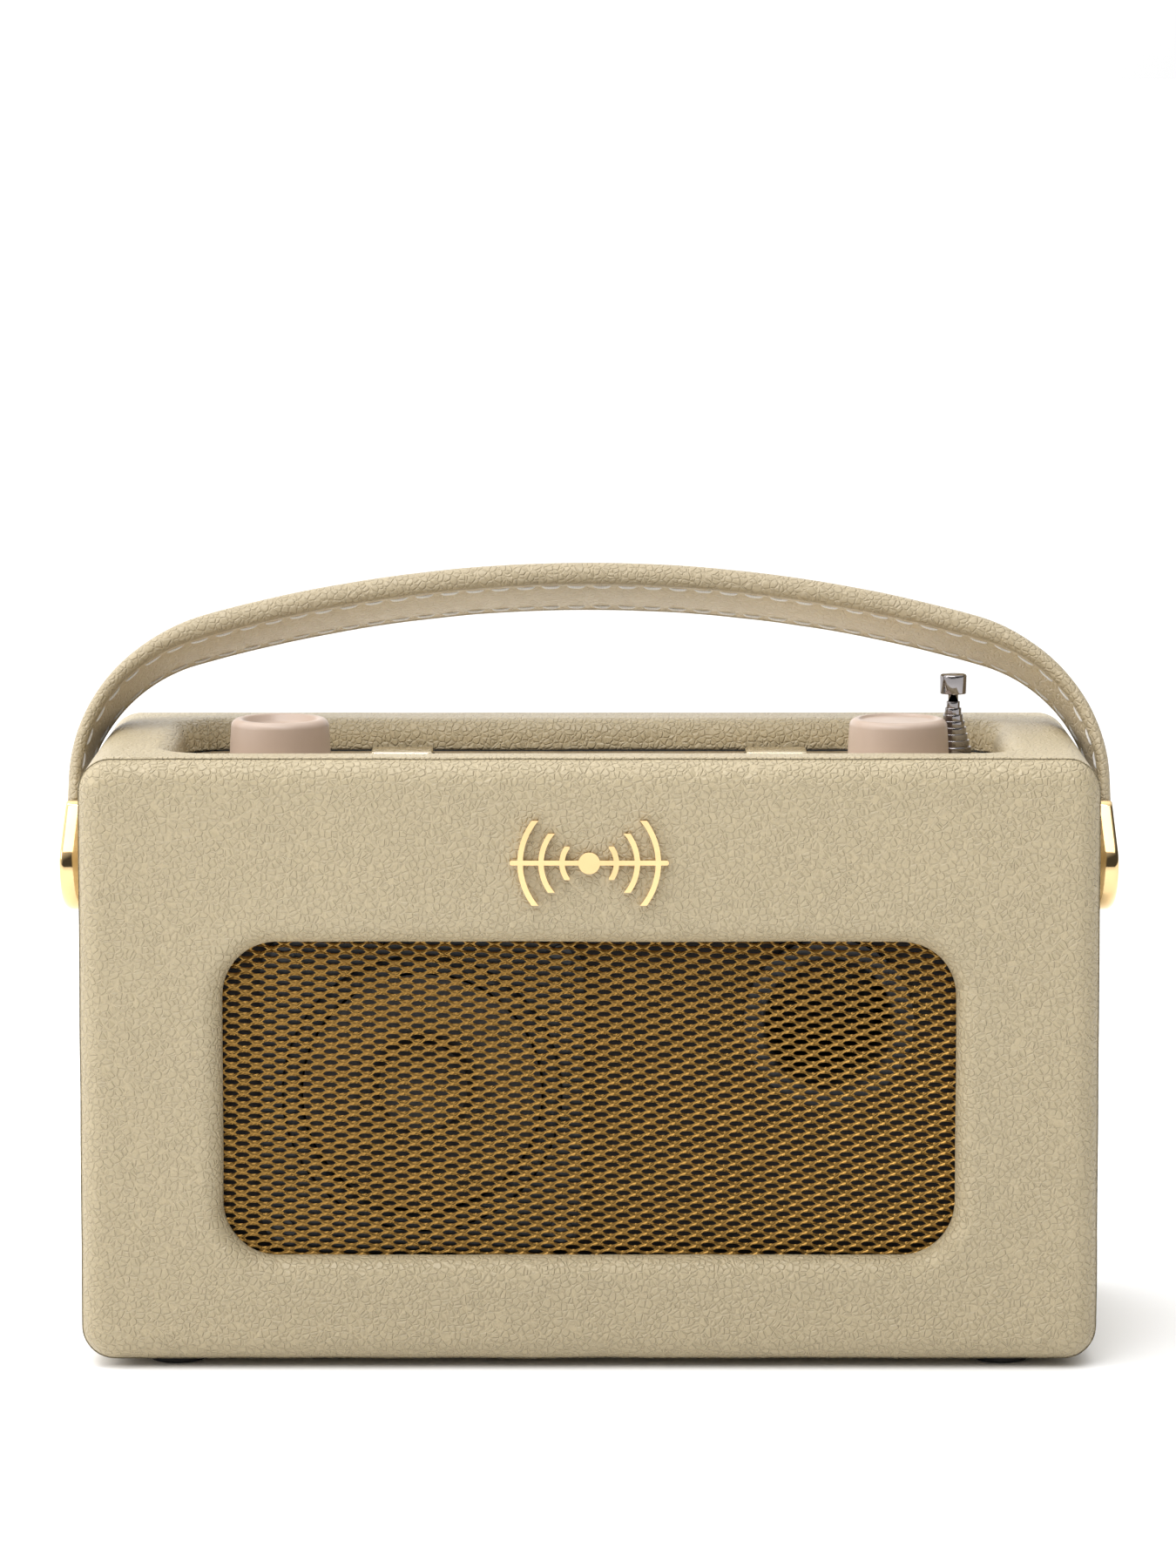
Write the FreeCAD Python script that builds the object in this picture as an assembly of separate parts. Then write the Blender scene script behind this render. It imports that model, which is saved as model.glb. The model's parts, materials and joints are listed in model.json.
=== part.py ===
"""Leather-covered portable radio: one STEP file for each physical piece.

Millimetres. +X is to the right of the front, -Y is the front, +Z is up.
Heights are given from the underside of the covered body. Each piece is lifted
by the height of the feet as it is saved, so that the origin lies on the
surface that the radio stands on, under the middle of the body.
"""
import FreeCAD, Part
import math
import os
from FreeCAD import Vector

# ---------------------------------------------------------------- body
WIDTH = 245.0
DEPTH = 100.0
HEIGHT = 146.0
CORNER = 8.0
FRONT_ROUND = 6.0
BACK_ROUND = 4.0
LEATHER = 1.0
WALL = 6.6
INSIDE_ROUND = 2.0
FRONT = -DEPTH / 2
BACK = DEPTH / 2
FRONT_BOARD_BACK = FRONT + 10.0
SEAM = FRONT + 6.0
SEAM_GAP = 0.3
INSIDE_X = WIDTH / 2 - LEATHER - WALL
INSIDE_LOW = LEATHER + WALL
INSIDE_HIGH = HEIGHT - LEATHER - WALL
FOOT_HEIGHT = 2.0
FOOT_RADIUS = 7.0
FOOT_X = 100.0
FOOT_Y = 36.0
FOOT_ROUND = 0.6
BLOCK = 12.0
BLOCK_DEEP = 14.0
PILOT_HOLE = 1.75

# ---------------------------------------------------------------- grille opening
OPENING_X = 88.2
OPENING_Z = 38.3
OPENING_CENTRE = 63.4
OPENING_CORNER = 13.2
LIP = 5.0
GRILLE_FRONT = SEAM + 0.1
GRILLE_THICK = 0.8
GRILLE_MARGIN = 4.5
GRILLE_PLAY = 0.4
HOLE_X = 4.2
HOLE_Z = 1.8
HOLE_PITCH_X = 10.0
HOLE_PITCH_Z = 5.4

# ---------------------------------------------------------------- emblem
BADGE_Z = 121.6
BADGE_PROUD = 1.8
BADGE_BOSS = 2.6
BADGE_BAR = (19.0, 0.6)
BADGE_WAVES = (6.5, 11.5, 16.5)
BADGE_LINE = 0.65

# ---------------------------------------------------------------- loudspeaker
BAFFLE_THICK = 4.0
BAFFLE_BACK = FRONT_BOARD_BACK + BAFFLE_THICK
DRIVER = Vector(-40.3, 0, 64.1)
DRIVER_FLANGE = 39.0
DRIVER_OPENING = 35.5
DRIVER_SCREW = 33.5
FLANGE_THICK = 2.0
FLANGE_CORNER = 10.0
BASKET_WALL = 1.6
BASKET_NECK = 19.0
BASKET_WINDOW = (-37.0, -24.0)
SURROUND_THICK = 0.8
CONE_RADIUS = 29.0
COIL_RADIUS = 9.9
MAGNET_RADIUS = 22.0
MAGNET_FRONT = -19.0
MAGNET_BACK = -6.0
MAGNET_GAP = 9.0
SCREW_HOLE = 1.6
CONE_THICK = 0.9
NECK = -28.0
DUST_CAP = 14.0
PORT = Vector(57.8, 0, 81.3)
PORT_BORE = 15.5
PORT_WALL = 1.8
PORT_FLANGE = 5.0
PORT_END = -8.0

# ---------------------------------------------------------------- control well
WELL_X = 101.6
WELL_Y = 31.0
WELL_CORNER = 10.0
WELL_ROLL = 5.0
PANEL_TOP = INSIDE_HIGH - 0.2
PANEL_THICK = 2.0
PANEL_BOTTOM = PANEL_TOP - PANEL_THICK
CHASSIS_BOTTOM = PANEL_BOTTOM - 4.3
BOARD_TOP = CHASSIS_BOTTOM - 3.0
BOARD_THICK = 1.6
PANEL_X = 100.8
PANEL_Y = (-30.2, 29.4)
WINDOW_X = 27.0
WINDOW_Y = 18.0
WINDOW_PLAY = 0.2

# ---------------------------------------------------------------- clearance cuts
LOW_CUT = 100.0
HIGH_CUT = 160.0
FRONT_CUT = -50.0
BACK_CUT = 60.0

# ---------------------------------------------------------------- knobs and keys
KNOB_X = 76.5
KNOB_BASE = 12.6
KNOB_TOP = 12.1
KNOB_LOW = PANEL_TOP + 0.9
KNOB_HIGH = 150.2
SHAFT = 3.0
SHAFT_PLAY = 0.05
ENCODER_BUSH = 3.6
BUSH_PLAY = 0.2
ENCODER_HALF = 6.5
ENCODER_DEEP = 8.5
KNOB_ROOF = 3.8
DISH = 24.0
DISH_DEPTH = 2.1
INSET = 9.6
INSET_DEPTH = 0.7
NUT = 5.8
KEY_X = 47.0
KEY_WIDE = 15.3
KEY_DEEP = 12.0
KEY_PITCH = 14.0
KEY_COUNT = 4
KEY_TOP = PANEL_TOP + 1.6
KEY_SINK = 0.8
STEM = 3.0
KEY_PLAY = 0.4
SWITCH_CASE = 2.5
SWITCH_TOP = 3.3

# ---------------------------------------------------------------- aerial
AERIAL_X = 90.8
AERIAL_Y = 11.2
AERIAL_BASE = 4.5
AERIAL_STEP = 0.4
AERIAL_WALL = 0.25
AERIAL_LOW = 44.0
AERIAL_TOP = 141.9
AERIAL_RISE = 1.6
AERIAL_SECTIONS = 7
AERIAL_SLEEVE = 6.5
AERIAL_FLANGE = 7.6
AERIAL_HOLE = 4.85
ROD = 1.25
TIP = 3.33
TIP_LOW = 155.0
TIP_HIGH = 159.9

# ---------------------------------------------------------------- handle
PIVOT_Z = 113.7
LEAN = 27.0
HANDLE_X = 129.1
HANDLE_TOP = 77.5
HANDLE_CROWN = 335.0
HANDLE_SHOULDER = 46.0
GRIP_THICK = 6.4
LEG_THICK = 3.2
INNER_SHOULDER = 38.0
STRAP_HALF = 11.0
LINING = 1.2
CORE = 0.8
CORE_HALF = 7.0
CAP_TOP = 12.7
CAP_ROUND = 11.3
CAP_INNER = 123.7
CAP_OUTER = 130.4
CAP_LIP = 128.9
PIVOT = 4.0
STUB_START = INSIDE_X - 0.9
BUSH = 6.0
BUSH_FLANGE = 8.5
BUSH_PROUD = 0.8
PIVOT_SCREW = 2.0

# ---------------------------------------------------------------- back
PANEL_BACK = BACK - 2.0
REAR_THICK = 3.0
REAR_FRONT = PANEL_BACK - REAR_THICK
BAY_X = 71.0
BAY_LOW = 12.6
BAY_HIGH = 88.4
BAY_FRONT = 6.6
BAY_BACK = 43.2
BAY_WALL = 1.6
DOOR_X = 75.4
DOOR_LOW = 14.2
DOOR_HIGH = 86.8
DOOR_GAP = 0.6
DOOR_THICK = 2.4
LEDGE = 3.4
LEDGE_Y = (REAR_FRONT - 1.6, REAR_FRONT)
HINGE_Y = PANEL_BACK - 1.4
HINGE_Z = DOOR_LOW + 2.8
HINGE_PIN = 1.0
HINGE_END = 3.4
VENT_PITCH = 8.0
VENT_HALF = 1.1
VENT_LOWS = (96.0, 112.0)
VENT_LONG = 12.0
VENT_COLUMNS = 7
CELL_ROWS = (32.4, 68.6)
CONTACT = 11.0
COIL_TURNS = 4
COIL_PITCH = 1.3
COIL_WIRE = 0.95
COIL_WIDE = 9.0
SOCKET_X = -92.0
SOCKET_BACK = PANEL_BACK - 0.4
JACK_BORE = 1.8
JACK_HEIGHTS = (60.0, 78.0)
DC_HEIGHT = 40.0
USB_HEIGHT = 97.0
JACK_NOSE = 3.1
JACK_DEEP = 12.0
DC_NOSE = 4.6
DC_BORE = 2.9
DC_DEEP = 9.5
USB_X = 4.4
USB_Z = 1.6
SOCKET_PLAY = 0.25
MAIN_BOARD_X = (-112.0, -74.0)
MAIN_BOARD_Y = 33.0
MAIN_BOARD_Z = (22.0, 122.0)

X_AXIS = Vector(1, 0, 0)
Y_AXIS = Vector(0, 1, 0)
Z_AXIS = Vector(0, 0, 1)


# ---------------------------------------------------------------- helpers
def block(x, y, z):
    """A box from its low and high values along each axis."""
    size = (x[1] - x[0], y[1] - y[0], z[1] - z[0])
    return Part.makeBox(*size, Vector(x[0], y[0], z[0]))


def rod(radius, start, end):
    """A cylinder between two points."""
    along = end - start
    return Part.makeCylinder(radius, along.Length, start, along)


def pipe(outer, inner, start, end):
    """A tube between two points."""
    return rod(outer, start, end).cut(rod(inner, start, end))


def taper(first, second, start, end):
    """A cone's frustum between two points."""
    along = end - start
    return Part.makeCone(first, second, along.Length, start, along)


def upright(radius, x, y, low, high):
    """A cylinder standing along Z."""
    return rod(radius, Vector(x, y, low), Vector(x, y, high))


def across(radius, place, front, back):
    """A cylinder lying along Y, on the axis through a place."""
    return rod(radius, place + Y_AXIS * front, place + Y_AXIS * back)


def fuse(shapes):
    """One solid out of several that touch."""
    return shapes[0].multiFuse(shapes[1:]).removeSplitter()


def group(shapes):
    """Separate solids that share one node."""
    return Part.makeCompound(shapes)


def round_along(solid, radius, axis):
    """Rounds the straight edges that run along an axis."""
    chosen = []
    for edge in solid.Edges:
        direction = edge.tangentAt(edge.FirstParameter)
        if abs(direction.dot(axis)) > 0.999:
            chosen.append(edge)
    return solid.makeFillet(radius, chosen)


def slab(x, y, z, radius, axis):
    """A box with its edges along one axis rounded."""
    return round_along(block(x, y, z), radius, axis)


def lies_in(edge, axis, value):
    """True where the whole edge lies in a plane across the axis."""
    frame = edge.BoundBox
    low = Vector(frame.XMin, frame.YMin, frame.ZMin).dot(axis)
    high = Vector(frame.XMax, frame.YMax, frame.ZMax).dot(axis)
    return abs(low - value) < 0.01 and abs(high - value) < 0.01


def round_rim(solid, radius, axis, value, reach=None):
    """Rounds a flat face's rim; reach limits how far out in X it may lie."""
    limit = reach or WIDTH
    chosen = []
    for edge in solid.Edges:
        frame = edge.BoundBox
        far = max(abs(frame.XMin), abs(frame.XMax))
        if lies_in(edge, axis, value) and far < limit:
            chosen.append(edge)
    return solid.makeFillet(radius, chosen)


def mirrored(shape):
    """The same piece on the other side of the radio."""
    return shape.mirror(Vector(0, 0, 0), X_AXIS)


def save(name, shape):
    """Lifts a piece onto its feet and writes it."""
    lifted = shape.copy()
    lifted.translate(Z_AXIS * FOOT_HEIGHT)
    lifted.exportStep("parts/" + name + ".step")


# ---------------------------------------------------------------- cabinet
def inside():
    """The hollow of the wooden box, open at the front and the back."""
    x = (-INSIDE_X, INSIDE_X)
    return slab(x, (FRONT - 1, BACK + 1), (INSIDE_LOW, INSIDE_HIGH), INSIDE_ROUND, Y_AXIS)


def front_shape(inset, back):
    """The front board's outer form, or that of the leather over it."""
    half = WIDTH / 2 - inset
    face = FRONT + inset
    board = slab((-half, half), (face, 0), (inset, HEIGHT - inset), CORNER - inset, Y_AXIS)
    board = round_rim(board, FRONT_ROUND - inset, Y_AXIS, face)
    hole_x = OPENING_X + inset
    hole_z = OPENING_Z + inset
    height = (OPENING_CENTRE - hole_z, OPENING_CENTRE + hole_z)
    corner = OPENING_CORNER + inset
    hole = slab((-hole_x, hole_x), (FRONT - 1, 1), height, corner, Y_AXIS)
    board = round_rim(board.cut(hole), LIP - inset, Y_AXIS, face, hole_x + LIP)
    return board.cut(block((-WIDTH, WIDTH), (back, 1), (-1, HEIGHT + 1)))


def body_shape(inset, front):
    """The outer form of the box with its control well, or of its leather."""
    half = WIDTH / 2 - inset
    rear = BACK - inset
    top = HEIGHT - inset
    box = slab((-half, half), (front, rear), (inset, top), CORNER - inset, Y_AXIS)
    box = round_rim(box, BACK_ROUND - inset, Y_AXIS, rear)
    well_x = WELL_X + inset
    well_y = WELL_Y + inset
    height = (INSIDE_HIGH, HEIGHT + 1)
    well = slab((-well_x, well_x), (-well_y, well_y), height, WELL_CORNER + inset, Z_AXIS)
    return round_rim(box.cut(well), WELL_ROLL - inset, Z_AXIS, top, well_x + 1)


def pivot_holes():
    """The holes through both sides for the handle's bushes."""
    far = WIDTH / 2 + 1
    return rod(BUSH + 0.05, Vector(-far, 0, PIVOT_Z), Vector(far, 0, PIVOT_Z))


def corner_block(side, low):
    """A glued corner block that takes one of the back panel's screws."""
    edge = side * INSIDE_X
    inner = edge - side * BLOCK
    x = (min(edge, inner), max(edge, inner))
    solid = block(x, (REAR_FRONT - BLOCK_DEEP, REAR_FRONT), (low, low + BLOCK))
    centre = Vector((x[0] + x[1]) / 2, 0, low + BLOCK / 2)
    return solid.cut(across(PILOT_HOLE, centre, REAR_FRONT - BLOCK, REAR_FRONT + 1))


def block_places():
    """Side and lower edge of each corner block."""
    lows = (INSIDE_LOW, INSIDE_HIGH - BLOCK)
    return [(side, low) for side in (-1, 1) for low in lows]


def cabinet_box():
    box = body_shape(LEATHER, FRONT_BOARD_BACK).cut(inside()).cut(pivot_holes())
    return fuse([box] + [corner_block(*place) for place in block_places()])


def cover_body():
    outer = body_shape(0, SEAM + SEAM_GAP)
    inner = body_shape(LEATHER, SEAM - 1)
    return outer.cut(inner).cut(inside()).cut(pivot_holes())


def cover_front():
    return front_shape(0, SEAM).cut(front_shape(LEATHER, SEAM + 1))


def grille_outline(play, front, back):
    """The grille's edge, or the rebate that it lies in."""
    half_x = OPENING_X + GRILLE_MARGIN + play
    half_z = OPENING_Z + GRILLE_MARGIN + play
    z = (OPENING_CENTRE - half_z, OPENING_CENTRE + half_z)
    corner = OPENING_CORNER + GRILLE_MARGIN
    return slab((-half_x, half_x), (front, back), z, corner, Y_AXIS)


def front_frame():
    board = front_shape(LEATHER, FRONT_BOARD_BACK)
    return board.cut(grille_outline(GRILLE_PLAY, GRILLE_FRONT, FRONT_BOARD_BACK + 1))


def grille():
    """A pierced plate: coarse lozenges stand for the fine expanded mesh."""
    back = GRILLE_FRONT + GRILLE_THICK
    plate = grille_outline(0, GRILLE_FRONT, back)
    front = GRILLE_FRONT - 1
    holes = []
    for row in range(-6, 7):
        for column in range(-8, 9):
            x = (column + (row % 2) / 2 - 0.25) * HOLE_PITCH_X
            z = OPENING_CENTRE + row * HOLE_PITCH_Z
            corners = [
                Vector(x - HOLE_X, front, z), Vector(x, front, z - HOLE_Z),
                Vector(x + HOLE_X, front, z), Vector(x, front, z + HOLE_Z),
            ]
            outline = Part.makePolygon(corners + corners[:1])
            holes.append(Part.Face(outline).extrude(Y_AXIS * (GRILLE_THICK + 2)))
    return plate.cut(group(holes))


def feet():
    pads = []
    for x in (-FOOT_X, FOOT_X):
        for y in (-FOOT_Y, FOOT_Y):
            pad = upright(FOOT_RADIUS, x, y, -FOOT_HEIGHT, 0)
            pads.append(round_rim(pad, FOOT_ROUND, Z_AXIS, -FOOT_HEIGHT))
    return group(pads)


def badge():
    """A plain emblem: a boss between rings of broadcast waves, on a bar."""
    place = Vector(0, 0, BADGE_Z)
    front = FRONT - BADGE_PROUD
    pieces = [across(BADGE_BOSS, place, front, FRONT)]
    long, half = BADGE_BAR
    bar = block((-long, long), (front + half, FRONT), (BADGE_Z - half, BADGE_Z + half))
    pieces.append(round_along(bar, half - 0.1, Y_AXIS))
    for radius in BADGE_WAVES:
        ring = across(radius + BADGE_LINE, place, front + 0.2, FRONT)
        ring = ring.cut(across(radius - BADGE_LINE, place, front, FRONT))
        side = radius * 0.72
        rise = radius * 0.62
        for sign in (-1, 1):
            x = sorted((sign * side, sign * (radius + 1)))
            window = block(x, (front - 1, FRONT + 1), (BADGE_Z - rise, BADGE_Z + rise))
            pieces.append(ring.common(window))
    return fuse(pieces)


# ---------------------------------------------------------------- loudspeaker
def driver_screw_places():
    """Where the four screws hold the driver's flange."""
    places = []
    for x in (-DRIVER_SCREW, DRIVER_SCREW):
        for z in (-DRIVER_SCREW, DRIVER_SCREW):
            places.append(DRIVER + Vector(x, 0, z))
    return places


def speaker_baffle():
    half = INSIDE_X - 0.4
    z = (INSIDE_LOW + 0.4, CHASSIS_BOTTOM - 1.0)
    board = slab((-half, half), (FRONT_BOARD_BACK, BAFFLE_BACK), z, INSIDE_ROUND, Y_AXIS)
    cuts = [
        across(DRIVER_OPENING + 0.6, DRIVER, FRONT_CUT, 0),
        across(PORT_BORE + PORT_WALL + 0.1, PORT, FRONT_CUT, 0),
    ]
    cuts += [across(SCREW_HOLE, place, FRONT_CUT, 0) for place in driver_screw_places()]
    return board.cut(group(cuts))


def driver_basket():
    front = FRONT_BOARD_BACK - FLANGE_THICK
    x = (DRIVER.x - DRIVER_FLANGE, DRIVER.x + DRIVER_FLANGE)
    z = (DRIVER.z - DRIVER_FLANGE, DRIVER.z + DRIVER_FLANGE)
    flange = slab(x, (front, FRONT_BOARD_BACK), z, FLANGE_CORNER, Y_AXIS)
    seat = DRIVER + Y_AXIS * FRONT_BOARD_BACK
    rear = DRIVER + Y_AXIS * MAGNET_FRONT
    shell = taper(DRIVER_OPENING, BASKET_NECK, seat, rear)
    shell = shell.cut(taper(DRIVER_OPENING - BASKET_WALL, BASKET_NECK - BASKET_WALL, seat, rear))
    window = block((DRIVER.x - 6, DRIVER.x + 6), BASKET_WINDOW, (DRIVER.z - 50, DRIVER.z + 50))
    for turn in (45, 135):
        opening = window.copy()
        opening.rotate(DRIVER, Y_AXIS, turn)
        shell = shell.cut(opening)
    flange = flange.cut(across(DRIVER_OPENING - BASKET_WALL, DRIVER, FRONT_CUT, 0))
    holes = [across(SCREW_HOLE, place, FRONT_CUT, 0) for place in driver_screw_places()]
    return fuse([flange, shell]).cut(group(holes))


def driver_surround():
    """A half-round roll between the cone and the basket."""
    outer = DRIVER_OPENING - BASKET_WALL
    inner = CONE_RADIUS + 0.3
    middle = (outer + inner) / 2
    half = (outer - inner) / 2
    plane = FRONT_BOARD_BACK - 0.2
    centre = DRIVER + Y_AXIS * plane
    roll = Part.makeTorus(middle, half, centre, Y_AXIS)
    roll = roll.cut(Part.makeTorus(middle, half - SURROUND_THICK, centre, Y_AXIS))
    return roll.common(across(outer, DRIVER, plane - 5, plane))


def driver_magnet():
    body = across(MAGNET_RADIUS, DRIVER, MAGNET_FRONT, MAGNET_BACK)
    floor = MAGNET_FRONT + MAGNET_GAP
    slot = across(COIL_RADIUS + 0.5, DRIVER, MAGNET_FRONT - 1, floor)
    slot = slot.cut(across(COIL_RADIUS - 1.2, DRIVER, MAGNET_FRONT - 1, floor))
    return round_rim(body.cut(slot), 0.8, Y_AXIS, MAGNET_BACK)


def speaker_cone():
    """The paper cone with its coil former and dust cap."""
    start = DRIVER + Y_AXIS * (FRONT_BOARD_BACK - 0.6)
    end = DRIVER + Y_AXIS * NECK
    cone = taper(CONE_RADIUS, COIL_RADIUS, start, end)
    cone = cone.cut(taper(CONE_RADIUS - CONE_THICK, COIL_RADIUS - CONE_THICK, start, end))
    tail = DRIVER + Y_AXIS * (MAGNET_FRONT + 5)
    former = pipe(COIL_RADIUS, COIL_RADIUS - 0.7, end - Y_AXIS * 0.4, tail)
    middle = DRIVER + Y_AXIS * (NECK + 8)
    ball = Part.makeSphere(DUST_CAP, middle).cut(Part.makeSphere(DUST_CAP - 0.7, middle))
    dome = ball.common(across(COIL_RADIUS + 1.6, DRIVER, NECK - 9, NECK - 0.6))
    return fuse([cone, former, dome])


def driver_screws():
    front = FRONT_BOARD_BACK - FLANGE_THICK
    screws = []
    for place in driver_screw_places():
        head = across(2.8, place, front - 0.7, front)
        shank = across(1.5, place, front, BAFFLE_BACK + 2)
        screws.append(fuse([head, shank]))
    return group(screws)


def bass_port():
    front = FRONT_BOARD_BACK - FLANGE_THICK
    tube = across(PORT_BORE + PORT_WALL, PORT, front, PORT_END)
    flange = across(PORT_BORE + PORT_FLANGE, PORT, front, FRONT_BOARD_BACK)
    solid = fuse([tube, flange]).cut(across(PORT_BORE, PORT, FRONT_CUT, 0))
    mouth = []
    for edge in solid.Edges:
        if lies_in(edge, Y_AXIS, front) and edge.BoundBox.XLength < 2 * PORT_BORE + 0.2:
            mouth.append(edge)
    return solid.makeFillet(1.4, mouth)


# ---------------------------------------------------------------- control panel
def key_places():
    """Name and middle of each key, the front one of each column first."""
    places = []
    for side, x in (("left", -KEY_X), ("right", KEY_X)):
        for number in range(KEY_COUNT):
            y = (number - (KEY_COUNT - 1) / 2) * KEY_PITCH
            places.append((side + "_" + str(number + 1), x, y))
    return places


def knob_columns(radius):
    """Clearance for both knob shafts."""
    return [upright(radius, x, 0, LOW_CUT, HIGH_CUT) for x in (-KNOB_X, KNOB_X)]


def panel_chassis():
    """The black tray under the well that carries the controls."""
    outer_x = WELL_X + 6.4
    outer_y = WELL_Y + 5.6
    tray = block((-outer_x, outer_x), (-outer_y, outer_y), (CHASSIS_BOTTOM, INSIDE_HIGH))
    pocket = slab((-WELL_X, WELL_X), (-WELL_Y, WELL_Y), (PANEL_BOTTOM, HEIGHT), WELL_CORNER, Z_AXIS)
    window_x = WINDOW_X - 2
    window_y = WINDOW_Y - 2
    cuts = [pocket, block((-window_x, window_x), (-window_y, window_y), (LOW_CUT, HEIGHT))]
    notch_y = REAR_FRONT - BLOCK_DEEP - 0.4
    for x in ((-outer_x - 1, 0.5 - WELL_X), (WELL_X - 0.5, outer_x + 1)):
        cuts.append(block(x, (notch_y, outer_y + 1), (LOW_CUT, HEIGHT)))
    cuts += knob_columns(ENCODER_BUSH + BUSH_PLAY)
    cuts.append(upright(AERIAL_SLEEVE + 0.1, AERIAL_X, AERIAL_Y, LOW_CUT, HEIGHT))
    half = STEM + 0.6
    for name, x, y in key_places():
        cuts.append(block((x - half, x + half), (y - half, y + half), (LOW_CUT, HEIGHT)))
    return tray.cut(group(cuts))


def control_panel():
    height = (PANEL_BOTTOM, PANEL_TOP)
    plate = slab((-PANEL_X, PANEL_X), PANEL_Y, height, WELL_CORNER - 1, Z_AXIS)
    through = (LOW_CUT, HIGH_CUT)
    window_x = WINDOW_X + WINDOW_PLAY
    window_y = WINDOW_Y + WINDOW_PLAY
    cuts = [slab((-window_x, window_x), (-window_y, window_y), through, 2.0, Z_AXIS)]
    cuts += knob_columns(ENCODER_BUSH + BUSH_PLAY)
    cuts.append(upright(AERIAL_HOLE, AERIAL_X, AERIAL_Y, LOW_CUT, HIGH_CUT))
    half_x = KEY_WIDE / 2 + KEY_PLAY
    half_y = KEY_DEEP / 2 + KEY_PLAY
    for name, x, y in key_places():
        hole = slab((x - half_x, x + half_x), (y - half_y, y + half_y), through, 1.6, Z_AXIS)
        cuts.append(hole)
    return plate.cut(group(cuts))


def display_window():
    x = (-WINDOW_X, WINDOW_X)
    y = (-WINDOW_Y, WINDOW_Y)
    return slab(x, y, (PANEL_BOTTOM, PANEL_TOP), 1.8, Z_AXIS)


def display_module():
    frame = block((-28, 28), (-19, 19), (BOARD_TOP, CHASSIS_BOTTOM))
    return frame.cut(block((-24, 24), (-15, 15), (CHASSIS_BOTTOM - 0.6, CHASSIS_BOTTOM + 1)))


def key_board():
    return slab((-66, 66), (-30, 30), (BOARD_TOP - BOARD_THICK, BOARD_TOP), 3.0, Z_AXIS)


def key_switches():
    switches = []
    for name, x, y in key_places():
        height = (BOARD_TOP, BOARD_TOP + SWITCH_CASE)
        case = block((x - STEM, x + STEM), (y - STEM, y + STEM), height)
        button = upright(1.7, x, y, BOARD_TOP + SWITCH_CASE, BOARD_TOP + SWITCH_TOP)
        switches.append(fuse([case, button]))
    return group(switches)


def key(x, y):
    """A rectangular key with a shallow crown and a square stem."""
    half_x = KEY_WIDE / 2
    half_y = KEY_DEEP / 2
    low = PANEL_BOTTOM + KEY_SINK
    cap = slab((x - half_x, x + half_x), (y - half_y, y + half_y), (low, KEY_TOP), 1.2, Z_AXIS)
    cap = round_rim(cap, 0.5, Z_AXIS, KEY_TOP)
    stem_low = BOARD_TOP + SWITCH_TOP + KEY_SINK
    stem = block((x - STEM, x + STEM), (y - STEM, y + STEM), (stem_low, low))
    return fuse([cap, stem])


def encoders():
    """Both rotary controls: a square case with a threaded bush."""
    solids = []
    for x in (-KNOB_X, KNOB_X):
        sides = (x - ENCODER_HALF, x + ENCODER_HALF)
        floor = CHASSIS_BOTTOM - ENCODER_DEEP
        case = block(sides, (-ENCODER_HALF, ENCODER_HALF), (floor, CHASSIS_BOTTOM))
        bush = upright(ENCODER_BUSH, x, 0, CHASSIS_BOTTOM, PANEL_TOP + 2.6)
        bore = upright(SHAFT + SHAFT_PLAY, x, 0, floor + 0.8, HIGH_CUT)
        solids.append(fuse([case, bush]).cut(bore))
    return group(solids)


def encoder_nuts():
    nuts = []
    for x in (-KNOB_X, KNOB_X):
        points = []
        for corner in range(7):
            angle = math.radians(60 * corner)
            points.append(Vector(x + NUT * math.cos(angle), NUT * math.sin(angle), PANEL_TOP))
        hexagon = Part.Face(Part.makePolygon(points)).extrude(Z_AXIS * 1.8)
        nuts.append(hexagon.cut(upright(ENCODER_BUSH + 0.05, x, 0, LOW_CUT, HIGH_CUT)))
    return group(nuts)


def knob(x, dish):
    """A turned knob; dish cuts its top."""
    body = taper(KNOB_BASE, KNOB_TOP, Vector(x, 0, KNOB_LOW), Vector(x, 0, KNOB_HIGH))
    body = round_rim(body, 1.6, Z_AXIS, KNOB_HIGH)
    skirt = upright(10.6, x, 0, KNOB_LOW, KNOB_LOW + 6.0)
    skirt = skirt.cut(upright(5.6, x, 0, KNOB_LOW + 3.4, KNOB_LOW + 6.0))
    bore = upright(SHAFT, x, 0, KNOB_LOW, KNOB_HIGH - KNOB_ROOF)
    return body.cut(skirt).cut(bore).cut(dish)


def volume_knob():
    sphere = Part.makeSphere(DISH, Vector(-KNOB_X, 0, KNOB_HIGH + DISH - DISH_DEPTH))
    return knob(-KNOB_X, sphere)


def tuning_knob():
    inset = upright(INSET, KNOB_X, 0, KNOB_HIGH - INSET_DEPTH, KNOB_HIGH + 1)
    return knob(KNOB_X, inset)


def knob_shaft(x):
    return upright(SHAFT, x, 0, CHASSIS_BOTTOM - 5.0, KNOB_HIGH - KNOB_ROOF)


def tuning_plunger():
    return upright(SHAFT - 0.2, KNOB_X, 0, CHASSIS_BOTTOM - 6.9, CHASSIS_BOTTOM - 5.1)


# ---------------------------------------------------------------- aerial
def aerial_tube(radius, low, high):
    """One telescopic tube, open at both ends."""
    outer = upright(radius, AERIAL_X, AERIAL_Y, low, high)
    return outer.cut(upright(radius - AERIAL_WALL, AERIAL_X, AERIAL_Y, low - 1, high + 1))


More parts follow.
